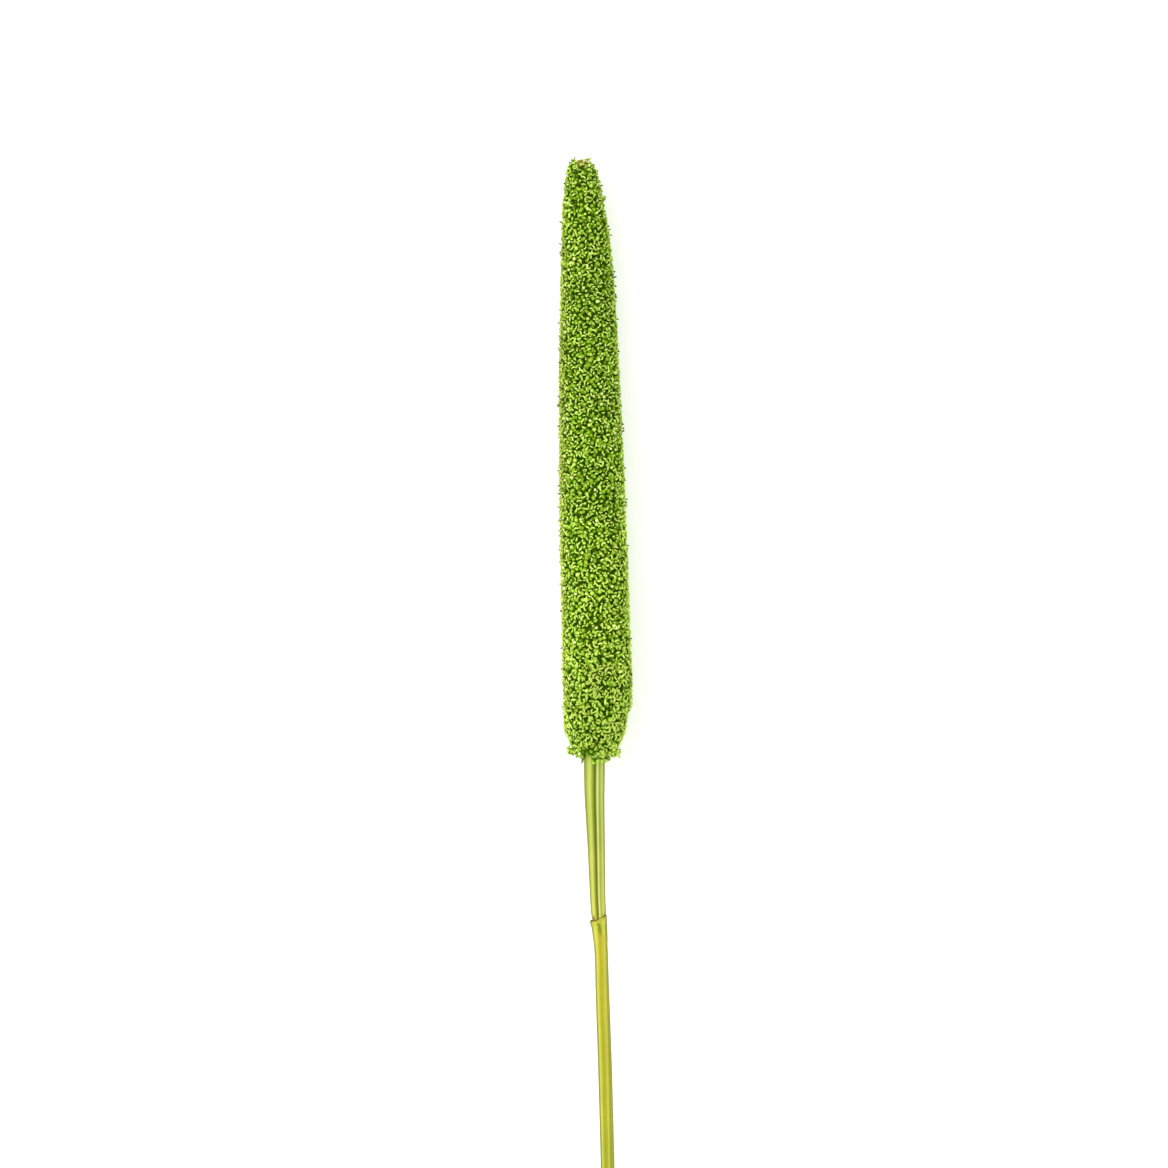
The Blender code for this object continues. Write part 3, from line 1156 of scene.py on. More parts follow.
@dataclass
class SeedHead:
    """The seed head: thousands of florets on a dark bed."""

    stations: tuple[Row, ...] = (
        (199.4, -5.3, 8.9, 0.3),
        (199.2, -5.3, 8.9, 2.4),
        (198.8, -5.1, 8.9, 3.8),
        (197.4, -5.0, 8.9, 4.9),
        (195.3, -4.9, 9.0, 5.8),
        (189.9, -4.5, 9.1, 6.9),
        (184.5, -4.3, 9.2, 7.6),
        (177.3, -3.9, 9.4, 8.5),
        (170.0, -3.4, 9.5, 9.15),
        (155.0, -2.8, 9.8, 10.0),
        (120.0, -2.1, 10.6, 11.2),
        (76.0, -1.0, 11.6, 12.2),
        (19.0, 0.6, 12.1, 12.7),
        (4.5, 0.9, 12.2, 12.6),
        (0.0, 0.2, 12.2, 12.0),
        (-6.5, -0.1, 12.2, 11.2),
        (-9.9, 0.0, 12.1, 9.8),
        (-12.4, 0.0, 12.1, 8.7),
        (-14.6, -0.3, 12.1, 7.0),
        (-16.0, -0.3, 12.1, 5.4),
        (-16.6, -0.3, 12.1, 4.3),
    )
    growth: tuple[Row, ...] = (
        (-17.0, 1.2), (-5.0, 1.2), (8.0, 1.15), (40.0, 1.08), (80.0, 1.02), (150.0, 1.0), (180.0, 1.04),
        (200.0, 1.0),
    )
    crest: tuple[Tuft, ...] = (
        Tuft(144.0, 197.9, 3.6, 72.0, 8.0, 2.0, 2, 1.05),
        Tuft(104.0, 197.3, 2.2, 88.0, 64.0, 2.2, 4, 1.2),
        Tuft(52.0, 197.8, 2.9, 92.0, 10.0, 2.1, 4, 1.0),
        Tuft(8.0, 184.2, 5.6, 38.0, 6.0, 3.0, 3, 1.45),
    )
    lobes: tuple[Tuft, ...] = (
        Tuft(177.0, -13.5, 7.9, -34.0, 75.0, 2.1, 14),
        Tuft(164.0, -15.0, 4.9, -62.0, 60.0, 1.6, 8),
        Tuft(4.0, -14.2, 7.7, -36.0, 80.0, 2.0, 14),
        Tuft(22.0, -16.3, 4.6, -66.0, 60.0, 1.6, 8),
        Tuft(84.0, -16.8, 4.4, -72.0, 60.0, 1.7, 8),
        Tuft(62.0, -16.6, 4.4, -70.0, 60.0, 1.6, 7),
        Tuft(40.0, -13.4, 7.6, -35.0, 75.0, 1.9, 10),
        Tuft(72.0, -13.8, 7.3, -40.0, 75.0, 1.9, 10),
        Tuft(142.0, -13.3, 7.5, -35.0, 75.0, 1.9, 10),
        Tuft(208.0, -13.8, 7.2, -40.0, 80.0, 2.0, 13),
        Tuft(236.0, -13.1, 7.6, -35.0, 75.0, 2.0, 11),
        Tuft(268.0, -14.0, 7.2, -40.0, 80.0, 2.0, 13),
        Tuft(302.0, -13.3, 7.5, -35.0, 75.0, 1.9, 11),
        Tuft(332.0, -14.1, 7.2, -40.0, 80.0, 2.0, 13),
        Tuft(212.0, -16.0, 4.6, -60.0, 65.0, 1.7, 8),
        Tuft(250.0, -16.6, 4.5, -65.0, 60.0, 1.7, 8),
        Tuft(292.0, -16.1, 4.6, -60.0, 65.0, 1.7, 8),
        Tuft(330.0, -16.7, 4.5, -65.0, 60.0, 1.6, 7),
    )
    bed_depth: float = 1.8
    bed_sides: int = 72
    bed_stride: int = 3
    bed_girth: float = 0.4
    bed_step: float = 1e-4
    bed_ends: Row = (-14.0, 196.6)
    full_reach: float = 0.1
    most_reach: float = 1.1
    low_seats: int = 3600
    low_jitter: float = 0.35
    top_seats: int = 6800
    top_jitter: float = 0.2
    rosettes: int = 1150
    rosette_jitter: float = 0.5
    rosette_petals: int = 6
    rosette_edge: float = 26.0
    rosette_fray: float = 14.0
    thinned: float = 0.4
    thinned_below: float = 4.0
    parting: Row = (96.0, 134.0, -12.6)
    form_shares: tuple[tuple[FloretForm, float], ...] = (
        (FloretForm.CURL, 0.42), (FloretForm.FINGER, 0.34), (FloretForm.GRAIN, 0.24),
    )
    tuft_shares: Row = (0.1, 0.6, 0.3)
    low_grain: Habit = Habit((0.95, 1.3), (-0.95, -0.5), (0.0, 0.2), lay=0.25, nod=(0.0, 0.25))
    top_grain: Habit = Habit((0.75, 1.15), (-0.5, -0.05), (0.0, 0.5))
    curl: Habit = Habit((0.65, 1.1), (-0.3, 0.12), (0.6, 1.0), nod=(0.0, 0.2), tone=0.2)
    finger: Habit = Habit((0.75, 1.15), (-0.3, 0.15), (0.5, 1.0), nod=(0.1, 0.35), tone=0.2)
    petal: Habit = Habit((0.55, 0.95), (-0.45, 0.1), (0.4, 1.0), lay=0.15)
    pale_share: float = 0.35
    glint_share: float = 0.09
    glint_scale: float = 0.7
    glint_rise: float = 0.35
    glint_paleness: float = 1.6
    curl_lay: Row = (10.0, 80.0)
    curl_slide: float = 0.6
    finger_shift: float = 0.15
    stray_share: float = 0.16
    stray_top: Row = (0.2, 0.65)
    stray_tone: float = 0.15
    stray_paleness: float = 0.1
    shaded_stray_share: float = 0.5
    shaded_stray_scale: float = 0.8
    shaded_stray_paleness: float = -1.0
    petal_shift: Row = (0.1, 0.5)
    petal_nod: Row = (-0.75, -0.1)
    petal_roll: float = 0.25
    bands: tuple[tuple[str, float], ...] = (
        ("tip", 150.0), ("upper", 108.0), ("middle", 66.0), ("lower", 27.0), ("base", -40.0),
    )
    fringe: float = 2.6
    seed: int = 11
    press: float = 0.6

    def build(self) -> list[Object]:
        """Build the bed and the florets.

        Returns:
            The finished pieces.
        """
        surface = HeadSurface(self.stations, self.growth)
        rng = np.random.default_rng(self.seed)
        layers = self._layers(surface, rng)
        shapes = {form: form.model() for form in FloretForm}
        finish = FloretFinish().make()
        pieces = [self._bed(surface)]
        ceiling = math.inf
        for band, floor in self.bands:
            picked = []
            for seats, form, planting in layers:
                y = seats.points[planting.seat, 1]
                rows = np.flatnonzero((y >= floor) & (y < ceiling))
                picked.append((seats, form, planting, rows))
            mesh = FloretMesh(sum(len(rows) for *_, rows in picked))
            for seats, form, planting, rows in picked:
                self._set_florets(mesh, shapes[form], planting, rows, seats)
            pieces.append(mesh.finish("florets_" + band, finish))
            ceiling = floor
        for piece in pieces:
            hand_over(piece, "seed_head")
        return pieces

    def _layers(
        self, surface: HeadSurface, rng: Generator
    ) -> list[tuple[Seats, FloretForm, Planting]]:
        """Choose all florets: low buds, the even top layer, rosettes and tufts.

        Args:
            surface: The head's outer form.
            rng: The seeded source of chance.

        Returns:
            Seats, a form and a planting for each layer.
        """
        low = surface.seats(self.low_seats, self.low_jitter, rng)
        layers = [(low, FloretForm.GRAIN, self.low_grain.plant(rng, low, np.arange(self.low_seats)))]
        plants = {
            FloretForm.CURL: self._plant_curls,
            FloretForm.FINGER: self._plant_fingers,
            FloretForm.GRAIN: self._plant_top_grains,
        }
        forms, shares = zip(*self.form_shares)
        top = surface.seats(self.top_seats, self.top_jitter, rng)
        thinned = self.thinned * ease(top.points[:, 1], self.rosette_edge, self.thinned_below)
        kept = rng.uniform(size=self.top_seats) > thinned
        kept &= ~self._parted(surface, top)
        chosen = rng.choice(len(forms), size=self.top_seats, p=shares)
        for number, form in enumerate(forms):
            layers.append((top, form, plants[form](rng, top, np.flatnonzero(kept & (chosen == number)))))
        spread = surface.seats(self.rosettes, self.rosette_jitter, rng)
        edge = self.rosette_edge - rng.uniform(0.0, self.rosette_fray, self.rosettes)
        near = np.flatnonzero((spread.points[:, 1] < edge) & ~self._parted(surface, spread))
        layers.append((spread, FloretForm.PETAL, self._plant_rosettes(rng, spread, near)))
        tufts = surface.tuft_seats(self.crest + self.lobes, rng)
        chosen = rng.choice(len(forms), size=len(tufts.mood), p=self.tuft_shares)
        for number, form in enumerate(forms):
            layers.append((tufts, form, plants[form](rng, tufts, np.flatnonzero(chosen == number))))
        return layers

    def _parted(self, surface: HeadSurface, seats: Seats) -> np.ndarray:
        """Say which seats lie where the florets part over the stem.

        Args:
            surface: The head's outer form.
            seats: The seats.

        Returns:
            Yes or no for each seat.
        """
        first, last, top = self.parting
        x, y, z = seats.points.T
        middle_x, middle_z = surface.middle(y)
        angle = np.degrees(np.arctan2(z - middle_z, x - middle_x))
        return (angle > first) & (angle < last) & (y < top)

    def _bed(self, surface: HeadSurface) -> Object:
        """Model the dark bed that the florets stand on.

        Args:
            surface: The head's outer form.

        Returns:
            The bed.
        """
        rows = surface.rows[::self.bed_stride].copy()
        rows[:, 3] = np.maximum(rows[:, 3] - self.bed_depth, self.bed_girth)
        rows[:, 0] = np.clip(rows[:, 0], *self.bed_ends)
        rows = rows[np.concatenate(((True,), np.abs(np.diff(rows[:, 0])) > self.bed_step))]
        bed = draw_tube("floret_bed", rows, self.bed_sides)
        bed.data.shade_smooth()
        bed.data.materials.append(CoreFinish().make())
        return bed

    def _plant_top_grains(self, rng: Generator, seats: Seats, seat: np.ndarray) -> Planting:
        """Choose how the buds stand that show between the curls.

        Args:
            rng: The seeded source of chance.
            seats: Places on the head.
            seat: The seats that get a bud.

        Returns:
            The planting.
        """
        chance = rng.uniform(size=len(seat))
        glint = chance < self.glint_share
        paleness = rng.uniform(*self.top_grain.paleness, len(seat))
        paleness[chance < self.pale_share] = 1.0
        paleness[glint] = self.glint_paleness
        planting = self.top_grain.plant(rng, seats, seat, paleness=paleness)
        planting.scale[glint] *= self.glint_scale
        planting.top[glint] += self.glint_rise
        return planting

    def _plant_curls(self, rng: Generator, seats: Seats, seat: np.ndarray) -> Planting:
        """Choose how the curls lie that arch over the head's surface.

        Args:
            rng: The seeded source of chance.
            seats: Places on the head.
            seat: The seats that get a curl.

        Returns:
            The planting.
        """
        count = len(seat)
        scale = seats.growth[seat] * rng.uniform(*self.curl.scale, count)
        side = rng.choice((-1.0, 1.0), size=count)
        lay = side * np.radians(rng.uniform(*self.curl_lay, count))
        reach = FloretForm.CURL.arch * scale
        shift = np.stack((-self.curl_slide * reach * np.sin(lay), -reach), axis=1)
        return self.curl.plant(rng, seats, seat, shift=shift, scale=scale, lay=lay)

    def _plant_fingers(self, rng: Generator, seats: Seats, seat: np.ndarray) -> Planting:
        """Choose how the fingers stand; a few stray beyond the rest.

        Args:
            rng: The seeded source of chance.
            seats: Places on the head.
            seat: The seats that get a finger.

        Returns:
            The planting.
        """
        count = len(seat)
        stray = rng.uniform(size=count) < self.stray_share
        shaded_stray = stray & (rng.uniform(size=count) < self.shaded_stray_share)
        top = np.where(stray, rng.uniform(*self.stray_top, count), rng.uniform(*self.finger.top, count))
        shift = rng.normal(0.0, self.finger_shift, (count, 2))
        planting = self.finger.plant(rng, seats, seat, shift=shift, top=top)
        # Painted shade: strays, which stick out past the head's edge, get a duller tone and no paleness, and
        # half of them a dark olive.
        planting.scale[shaded_stray] *= self.shaded_stray_scale
        planting.tone[stray] *= self.stray_tone
        planting.paleness[stray] = self.stray_paleness
        planting.paleness[shaded_stray] = self.shaded_stray_paleness
        return planting

    def _plant_rosettes(self, rng: Generator, seats: Seats, seat: np.ndarray) -> Planting:
        """Choose how petals arch out of the rosettes near the head's base.

        Args:
            rng: The seeded source of chance.
            seats: Places on the head.
            seat: The seats that get a rosette.

        Returns:
            The planting, several petals for each seat.
        """
        petals = np.repeat(seat, self.rosette_petals)
        count = len(petals)
        turned = np.tile(np.arange(self.rosette_petals), len(seat)) * math.tau / self.rosette_petals
        start = np.repeat(rng.uniform(0.0, math.tau, len(seat)), self.rosette_petals)
        return self.petal.plant(
            rng,
            seats,
            petals,
            shift=np.stack((np.zeros(count), rng.uniform(*self.petal_shift, count)), axis=1),
            scale=seats.growth[petals] * rng.uniform(*self.petal.scale, count),
            lay=rng.normal(0.0, self.petal.lay, count),
            nod=rng.uniform(*self.petal_nod, count),
            roll=start + turned + rng.normal(0.0, self.petal_roll, count),
        )

    def _set_florets(
        self,
        mesh: FloretMesh,
        shape: FloretShape,
        planting: Planting,
        rows: np.ndarray,
        seats: Seats,
    ) -> None:
        """Set some florets of a planting on the head and join them to a mesh.

        Args:
            mesh: The mesh to join them to.
            shape: The floret's form.
            planting: How florets of that form stand.
            rows: Which of them to set.
            seats: The seats that the planting counts from.
        """
        seat = planting.seat[rows]
        tilt = turn(0, planting.nod[rows]) @ turn(1, planting.lay[rows])
        local = np.einsum("kij,nj->kni", tilt, shape.points) * planting.scale[rows][:, None, None]
        local[:, :, :2] += planting.shift[rows][:, None, :]
        local = np.einsum("kij,knj->kni", turn(2, planting.roll[rows]), local)
        local[:, :, 2] += (planting.top[rows] - local[:, :, 2].max(axis=1))[:, None]
        points = seats.points[seat][:, None, :] + np.einsum("kij,knj->kni", seats.frames[seat], local)
        # A point's height over the bed; the finish darkens low points, partly as painted shade between the
        # florets.
        reach = 1.0 + (local[:, :, 2] - self.full_reach) / self.bed_depth
        mesh.add(shape, self._keep_in_room(points), {
            "reach": np.clip(reach, 0.0, self.most_reach),
            "tone": planting.tone[rows][:, None],
            "paleness": planting.paleness[rows][:, None],
        })

    def _keep_in_room(self, points: np.ndarray) -> np.ndarray:
        """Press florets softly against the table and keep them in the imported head's box.

        Args:
            points: The florets' points, in millimetres.

        Returns:
            The points to use.
        """
        low, high = (np.array(corner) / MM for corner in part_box("seed_head"))
        low[1] -= self.fringe
        height = points[:, :, 2]
        pressed = self.press * np.exp((np.minimum(height, self.press) - self.press) / self.press)
        kept = points.copy()
        kept[:, :, 2] = np.where(height < self.press, pressed, height)
        return np.clip(kept, low, high)


@dataclass(frozen=True)
class Mark:
    """A soft-edged patch on the skin of the stem or its sheath.

    The angle goes round the stem with 90 on top, and the width is half the
    patch's, both in degrees. The place and the half-length are in millimetres.
    """

    y: float
    angle: float
    length: float
    width: float
    strength: float

    def weigh(self, y: np.ndarray, angle: np.ndarray) -> np.ndarray:
        """Weigh the patch at points of the skin, by their places along Y and round the stem."""
        off = degrees_off(angle, self.angle)
        return self.strength * np.exp(-((y - self.y) / self.length) ** 2 - (off / self.width) ** 2)


@dataclass(frozen=True)
class Stripe:
    """A pale rib or a dark furrow along a stretch of the stem, with angles in degrees; some pale ribs also
    stand for a painted highlight, and some dark furrows for painted shade.
    """

    first: float
    last: float
    width: float
    height: float


@dataclass(frozen=True)
class Joint:
    """The slanting rim where the leaf sheath was torn off."""

    y: float = -74.35
    rise: float = 1.3
    turned: float = math.radians(2.0)
    flap_angle: float = 184.0
    flap_width: float = 27.0
    flap_rise: float = 0.9

    def rim(self, angle: np.ndarray) -> np.ndarray:
        """Return the rim's place along Y at angles round the stem, with a small flap at one side."""
        flap = self.flap_rise * np.exp(-(degrees_off(angle, self.flap_angle) / self.flap_width) ** 2)
        return self.y + self.rise * np.cos(angle + self.turned) + flap


@dataclass
class Stem:
    """The stem, from inside the head to its cut end."""

    stations: tuple[Row, ...] = (
        (-9.5, -0.3, 3.90),
        (-23.0, -0.3, 3.85),
        (-32.0, -0.2, 3.67),
        (-49.0, 0.4, 3.24),
        (-66.5, 0.9, 2.90),
        (-71.2, 1.15, 2.86),
        (-73.2, 1.25, 2.74),
        (-74.6, 1.35, 2.56),
        (-77.6, 1.55, 2.34),
        (-80.5, 1.75, 2.42),
        (-83.0, 1.95, 2.58),
        (-90.0, 2.3, 2.50),
        (-101.0, 2.6, 2.57),
        (-127.0, 3.5, 2.62),
        (-164.0, 4.5, 2.59),
        (-200.0, 5.3, 2.63),
    )
    joint: Joint = Joint()
    head_base: float = -16.8
    head_height: float = 12.1
    rows_per_span: int = 8
    sides: int = 120
    groove_depth: float = 0.75
    groove_width: float = math.radians(9.0)
    groove_at_head: float = math.radians(86.0)
    groove_at_joint: float = math.radians(95.0)
    groove_fade: Row = (-75.5, -72.5)
    ridge_offset: float = math.radians(-14.0)
    ridge_width: float = math.radians(7.0)
    seam_offset: float = math.radians(-28.0)
    seam_depth: float = 0.16
    rib_depth: float = 0.08
    rib_counts: tuple[int, ...] = (9, 13, 19, 27)
    rib_drift: float = 0.01
    rib_fade: Row = (-10.0, -30.0)
    stripe_depth: float = 0.14
    stripe_fade: Row = (-10.0, -18.0)
    stripe_start: Row = (-0.5, 2.0)
    stripe_end: Row = (-1.0, -4.0)
    # Partly real stripes, pressed into the skin too: the pale rib on the upper left is also a painted
    # highlight, and the dark furrows near the left and right edges are also painted shade.
    upper_stripes: tuple[Stripe, ...] = (
        Stripe(114.0, 126.0, 13.0, 0.85),
        Stripe(100.0, 110.0, 7.0, -0.85),
        Stripe(147.0, 155.0, 12.0, -0.7),
        Stripe(46.0, 44.0, 11.0, 0.95),
        Stripe(18.0, 19.0, 12.0, -1.0),
    )
    # Partly real stripes, pressed into the skin too: the pale rib on the upper left is also a painted
    # highlight, and the dark furrows near the left and right edges are also painted shade.
    lower_stripes: tuple[Stripe, ...] = (
        Stripe(125.0, 132.0, 12.0, 0.85),
        Stripe(154.0, 158.0, 13.0, -1.0),
        Stripe(95.0, 109.0, 13.0, -0.7),
        Stripe(58.0, 86.0, 11.0, 0.85),
        Stripe(36.0, 63.0, 7.0, -0.95),
        Stripe(33.0, 44.0, 6.0, 0.4),
        Stripe(15.0, 22.0, 13.0, -1.0),
    )
    back_stripes: int = 9
    back_span: Row = (190.0, 350.0)
    back_stray: float = 6.0
    back_turn: float = 8.0
    back_widths: Row = (7.0, 12.0)
    back_heights: Row = (0.5, 0.9)
    browned: Mark = Mark(-74.4, 140.0, 1.2, 24.0, 1.0)
    paled: Mark = Mark(-74.3, 117.0, 0.5, 8.0, 1.6)
    shaded: tuple[Mark, ...] = (
        Mark(-74.3, 98.0, 0.8, 10.0, 0.9),
        Mark(-75.0, 122.0, 0.35, 16.0, 1.0),
        Mark(-73.1, 30.0, 0.6, 22.0, 1.0),
        Mark(-72.7, 20.0, 0.5, 16.0, 0.9),
    )
    rim_shade: float = 0.7
    rim_shade_rise: float = 0.1
    rim_shade_width: float = 0.28
    seam_shade: float = 0.32
    fibre_pace: float = 0.01
    pith_radius: float = 0.5
    cut_rim: float = 0.35
    cut_sink: float = 0.05
    seed: int = 5

    def __post_init__(self) -> None:
        """Work out the stem's rows of y, x, z and radius, and the stripes on its back."""
        rows = smooth_curve(self.stations, self.rows_per_span)
        self.rows = np.stack((rows[:, 0], rows[:, 1], self.height(rows[:, 0]), rows[:, 2]), axis=1)
        rng = np.random.default_rng(self.seed)
        angles = np.linspace(*self.back_span, self.back_stripes)
        angles += rng.uniform(-self.back_stray, self.back_stray, self.back_stripes)
        self.behind = []
        for number, angle in enumerate(angles):
            last = angle + rng.uniform(-self.back_turn, self.back_turn)
            width = rng.uniform(*self.back_widths)
            height = (-1.0) ** number * rng.uniform(*self.back_heights)
            self.behind.append(Stripe(angle, last, width, height))
        self.waves = rng.uniform(0.0, math.tau, len(self.rib_counts))

    def height(self, y: np.ndarray) -> np.ndarray:
        """Work out the height of the stem's middle, which sags to the table.

        Args:
            y: Places along Y.

        Returns:
            The heights.
        """
        end = self.stations[-1]
        share = np.maximum(0.0, (self.head_base - y) / (self.head_base - end[0]))
        return self.head_height - (self.head_height - end[2]) * (3.0 * share ** 2 - share ** 3) / 2.0

    def middle(self, y: np.ndarray) -> tuple[np.ndarray, np.ndarray, np.ndarray]:
        """Return the stem's middle across, its height and its radius at places along Y."""
        rows = self.rows[::-1]
        return tuple(np.interp(y, rows[:, 0], rows[:, column]) for column in (1, 2, 3))

    def round_places(self, points: np.ndarray) -> tuple[np.ndarray, np.ndarray]:
        """Find where points lie round the stem.

        Args:
            points: Rows of x, y and z, in millimetres.

        Returns:
            Their angles round the stem's middle and their distances from it.
        """
        x, z, _ = self.middle(points[:, 1])
        across, up = points[:, 0] - x, points[:, 2] - z
        return np.arctan2(up, across), np.hypot(up, across)

    def build(self) -> Object:
        """Build the stem: a tube with a groove, a ridge, a seam, stripes and fine ribs.

        Returns:
            The finished piece.
        """
        stem = draw_tube("stem_skin", self.rows, self.sides)
        points = read_points(stem.data) / MM
        angle, distance = self.round_places(points)
        y = points[:, 1]
        groove, _, seam = self._lines(y, angle)
        for name, weights, depth in (
            ("groove", groove, self.groove_depth),
            ("seam", seam, self.seam_depth),
            ("stripes", 0.5 - 0.5 * self.stripes(y, angle), self.stripe_depth),
            ("ribs", self._ribs(y, angle), self.rib_depth),
        ):
            weigh(stem, name, weights * (distance > self.pith_radius))
            apply_modifier(stem, "DISPLACE", strength=-depth * MM, mid_level=0.0, vertex_group=name)
        stem.vertex_groups.clear()
        self._cut_face(stem)
        points = read_points(stem.data) / MM
        angle, _ = self.round_places(points)
        self._paint_skin(stem.data, points[:, 1], angle)
        stem.data.shade_smooth()
        stem.data.materials.append(StemFinish().make())
        stem.data.materials.append(PithFinish().make())
        hand_over(stem, "stem")
        return stem

    def _paint_skin(self, mesh: Mesh, y: np.ndarray, angle: np.ndarray) -> None:
        """Paint all that the stem's finish reads.

        Args:
            mesh: The stem's mesh.
            y: The points' places along Y.
            angle: The points' angles round the stem.
        """
        groove, ridge, seam = self._lines(y, angle)
        # Painted shadow just above the sheath's rim and painted shade marks by the joint, laid into the
        # groove's paint with the seam's shade.
        off_rim = (y - self.joint.rim(angle) - self.rim_shade_rise) / self.rim_shade_width
        shade = self.rim_shade * np.exp(-off_rim ** 2)
        shade = shade + sum(mark.weigh(y, angle) for mark in self.shaded)
        paint(mesh, "groove", np.clip(groove + self.seam_shade * seam + shade, 0.0, 1.0))
        paint(mesh, "ridge", ridge)
        paint(mesh, "brown", self.browned.weigh(y, angle))
        paint(mesh, "stripe", np.clip(self.stripes(y, angle) + self.paled.weigh(y, angle), -1.0, 1.0))
        paint_fibre(mesh, y, angle, self.fibre_pace)

    def stripes(self, y: np.ndarray, angle: np.ndarray) -> np.ndarray:
        """Weigh the ribs and furrows at points of the skin.

        Args:
            y: The points' places along Y.
            angle: The points' angles round the stem.

        Returns:
            One number for each point, from -1 in a furrow to 1 on a rib.
        """
        joint, end = self.joint.y, self.stations[-1][0]
        above = ease(y, *(joint + edge for edge in self.stripe_start)) * ease(y, *self.stripe_fade)
        below = ease(y, *(joint + edge for edge in self.stripe_end))
        total = np.zeros_like(angle)
        for stripes, top, bottom, fade in (
            (self.upper_stripes, self.head_base, joint, above),
            (self.lower_stripes, joint, end, below),
            (self.behind, self.head_base, end, np.maximum(above, below)),
        ):
            share = np.clip((top - y) / (top - bottom), 0.0, 1.0)
            for stripe in stripes:
                off = degrees_off(angle, stripe.first + (stripe.last - stripe.first) * share)
                total += stripe.height * np.exp(-(off / stripe.width) ** 2) * fade
        return np.clip(total, -1.0, 1.0)

    def _lines(self, y: np.ndarray, angle: np.ndarray) -> tuple[np.ndarray, np.ndarray, np.ndarray]:
        """Weigh the groove, the ridge and the seam at points of the skin.

        Args:
            y: The points' places along Y.
            angle: The points' angles round the stem.

        Returns:
            Three arrays of weights, 0 to 1.
        """
        fade = ease(y, *self.groove_fade)
        share = ease(y, self.groove_fade[1], self.head_base)
        line = self.groove_at_joint + (self.groove_at_head - self.groove_at_joint) * share
        offset = (angle - line + math.pi) % math.tau - math.pi
        groove = np.exp(-(offset / self.groove_width) ** 2) * fade
        ridge = np.exp(-((offset - self.ridge_offset) / self.ridge_width) ** 2) * fade
        seam = np.exp(-((offset - self.seam_offset) / self.ridge_width) ** 2) * fade
        return groove, ridge, seam

    def _ribs(self, y: np.ndarray, angle: np.ndarray) -> np.ndarray:
        """Weigh the fine ribs that run along the stem.

        Args:
            y: The points' places along Y.
            angle: The points' angles round the stem.

        Returns:
            The weights, 0 to 1.
        """
        waves = zip(self.rib_counts, self.waves)
        total = sum(np.sin(count * angle + start + self.rib_drift * y) for count, start in waves)
        return (0.5 + total / (2.0 * len(self.rib_counts))) * ease(y, *self.rib_fade)

    def _cut_face(self, stem: Object) -> None:
        """Level the stem's cut end and inset the pith in it.

        Args:
            stem: The stem's tube.
        """
        end = self.stations[-1][0] * MM
        with editing(stem, "DESELECT"):
            choose_faces(stem, lambda middle, corners: corners > QUAD_CORNERS and middle.y < end + MM)
            bpy.ops.mesh.mark_sharp()
            bpy.ops.transform.resize(value=(1.0, 0.0, 1.0), center_override=(0.0, end, 0.0))
            bpy.ops.mesh.inset(thickness=self.cut_rim * MM, depth=-self.cut_sink * MM)
        for face in stem.data.polygons:
            if face.select:
                face.material_index = 1


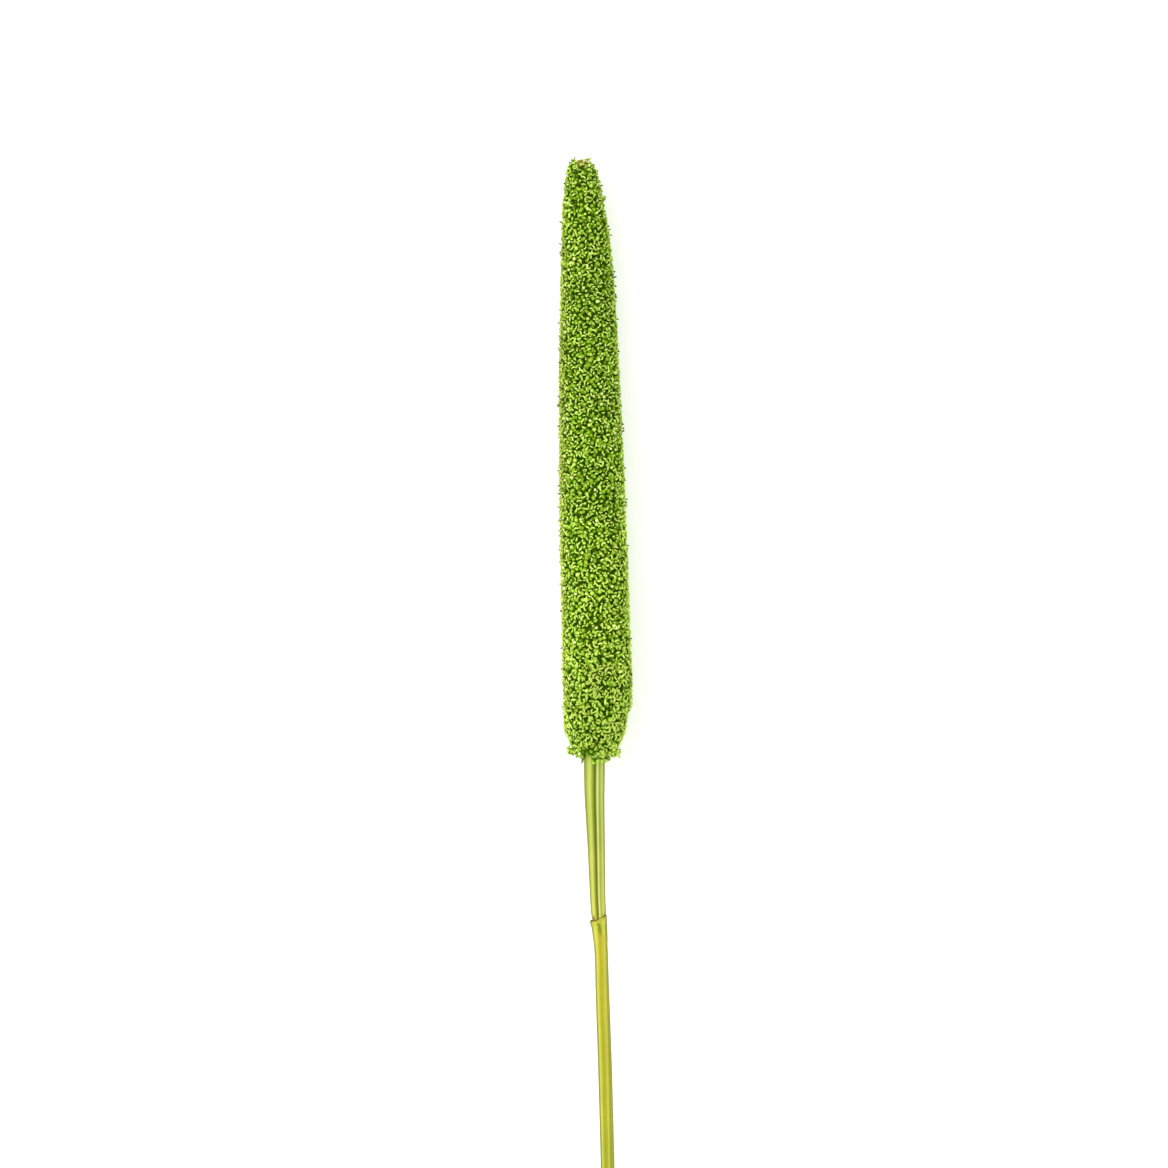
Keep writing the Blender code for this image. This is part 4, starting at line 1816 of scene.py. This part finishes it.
@dataclass
class SheathStub:
    """The stub of the leaf sheath, which grows out of the stem and ends in a slanting, torn rim."""

    stem: Stem
    girths: tuple[Row, ...] = (
        (-84.5, 2.30),
        (-82.6, 2.58),
        (-80.5, 2.70),
        (-78.6, 2.78),
        (-76.0, 2.84),
        (-74.0, 2.90),
        (-72.0, 3.02),
    )
    rag: float = 0.10
    rag_waves: tuple[Row, ...] = ((1.0, 5.0, 1.0), (0.5, 13.0, 0.0))
    wall: float = 0.24
    lip: Mark = Mark(-75.9, 178.0, 1.3, 36.0, 0.5)
    rim_band: float = 0.3
    # Dark green spots and streaks, and a pale patch on the upper right that is a painted highlight.
    marks: tuple[Mark, ...] = (
        Mark(-76.1, 99.0, 0.5, 9.0, -1.3),
        Mark(-77.3, 88.0, 1.1, 9.0, -1.1),
        Mark(-79.0, 81.0, 1.4, 8.0, -0.9),
        Mark(-75.4, 62.0, 1.2, 11.0, 1.0),
        Mark(-76.6, 24.0, 3.0, 16.0, -0.8),
    )
    rim_paling: float = 0.6
    fibre_pace: float = 0.02
    sides: int = 120
    rows: int = 26
    crowding: float = 1.5

    def build(self) -> Object:
        """Build the stub: a short tube whose foot sinks in the stem's skin.

        Returns:
            The finished piece.
        """
        bottom, girth = np.array(self.girths).T
        share = np.linspace(0.0, 1.0, self.rows)
        levels = bottom[0] + (self.stem.joint.y - bottom[0]) * (1.0 - (1.0 - share) ** self.crowding)
        x, z, _ = self.stem.middle(levels)
        rows = np.stack((levels, x, z, np.interp(levels, bottom, girth)), axis=1)
        tube = draw_tube("sheath_stub", rows, self.sides)
        with editing(tube, "DESELECT"):
            choose_faces(tube, lambda middle, corners: corners > QUAD_CORNERS)
            bpy.ops.mesh.delete(type="ONLY_FACE")
        points = read_points(tube.data) / MM
        angle, _ = self.stem.round_places(points)
        ragged = sum(height * np.sin(count * angle + start) for height, count, start in self.rag_waves)
        rim = self.stem.joint.rim(angle) + self.rag * ragged
        up = (points[:, 1] - bottom[0]) / (self.stem.joint.y - bottom[0])
        y = bottom[0] + (rim - bottom[0]) * up
        x, z, _ = self.stem.middle(y)
        reach = np.interp(y, bottom, girth) + self.lip.weigh(y, angle)
        moved = np.stack((x + reach * np.cos(angle), y, z + reach * np.sin(angle)), axis=1)
        tube.data.vertices.foreach_set("co", (moved * MM).ravel())
        tube.data.update()
        edge = np.exp(-((rim - y) / self.rim_band) ** 2)
        stripe = self.stem.stripes(y, angle) + sum(mark.weigh(y, angle) for mark in self.marks)
        paint(tube.data, "rim", edge)
        paint(tube.data, "stripe", np.clip(stripe + self.rim_paling * edge, -1.0, 1.0))
        paint_fibre(tube.data, y, angle, self.fibre_pace)
        with editing(tube):
            bpy.ops.mesh.normals_make_consistent(inside=False)
        apply_modifier(tube, "SOLIDIFY", thickness=self.wall * MM, offset=-1.0, use_rim=True)
        tube.data.shade_smooth()
        tube.data.materials.append(SheathFinish().make())
        hand_over(tube, "leaf_sheath_stub")
        return tube


@dataclass
class Studio:
    """A white table, soft light from the upper left and a camera straight above."""

    floor_size: float = 6.0
    floor_drop: float = 0.4
    lens: float = 85.0
    sensor: float = 36.0
    camera: tuple[float, float, float] = (-4.04, 46.26, 1004.8)
    sky: float = 0.88
    key_power: float = 5.4
    key_size: float = 1.1
    key_place: tuple[float, float, float] = (-0.8, 0.35, 0.72)

    def build(self) -> None:
        """Build the table, the lights and the camera."""
        bpy.ops.object.select_all(action="DESELECT")
        bpy.ops.mesh.primitive_plane_add(size=self.floor_size, location=(0.0, 0.0, -self.floor_drop * MM))
        floor = bpy.context.active_object
        floor.name = "table_top"
        bpy.ops.object.transform_apply(location=True, rotation=True, scale=True)
        floor.data.materials.append(FloorFinish().make())

        scene = bpy.context.scene
        world = bpy.data.worlds.new("studio_white")
        world.use_nodes = True
        background = world.node_tree.nodes["Background"].inputs
        background["Color"].default_value = (1.0, 1.0, 1.0, 1.0)
        background["Strength"].default_value = self.sky
        scene.world = world
        scene.view_settings.view_transform = "Standard"

        light = bpy.data.lights.new("key", "AREA")
        light.energy = self.key_power
        light.size = self.key_size
        key = bpy.data.objects.new("key", light)
        key.location = self.key_place
        key.rotation_euler = (-Vector(self.key_place)).to_track_quat("-Z", "Y").to_euler()
        scene.collection.objects.link(key)

        lens = bpy.data.cameras.new("camera")
        lens.lens = self.lens
        lens.sensor_width = self.sensor
        camera = bpy.data.objects.new("camera", lens)
        camera.location = Vector(self.camera) * MM
        scene.collection.objects.link(camera)
        scene.camera = camera


def main() -> None:
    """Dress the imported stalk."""
    logging.basicConfig(level=logging.INFO, format="%(name)s: %(message)s")
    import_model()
    Studio().build()
    SeedHead().build()
    stem = Stem()
    stem.build()
    SheathStub(stem).build()


if __name__ == "__main__":
    main()
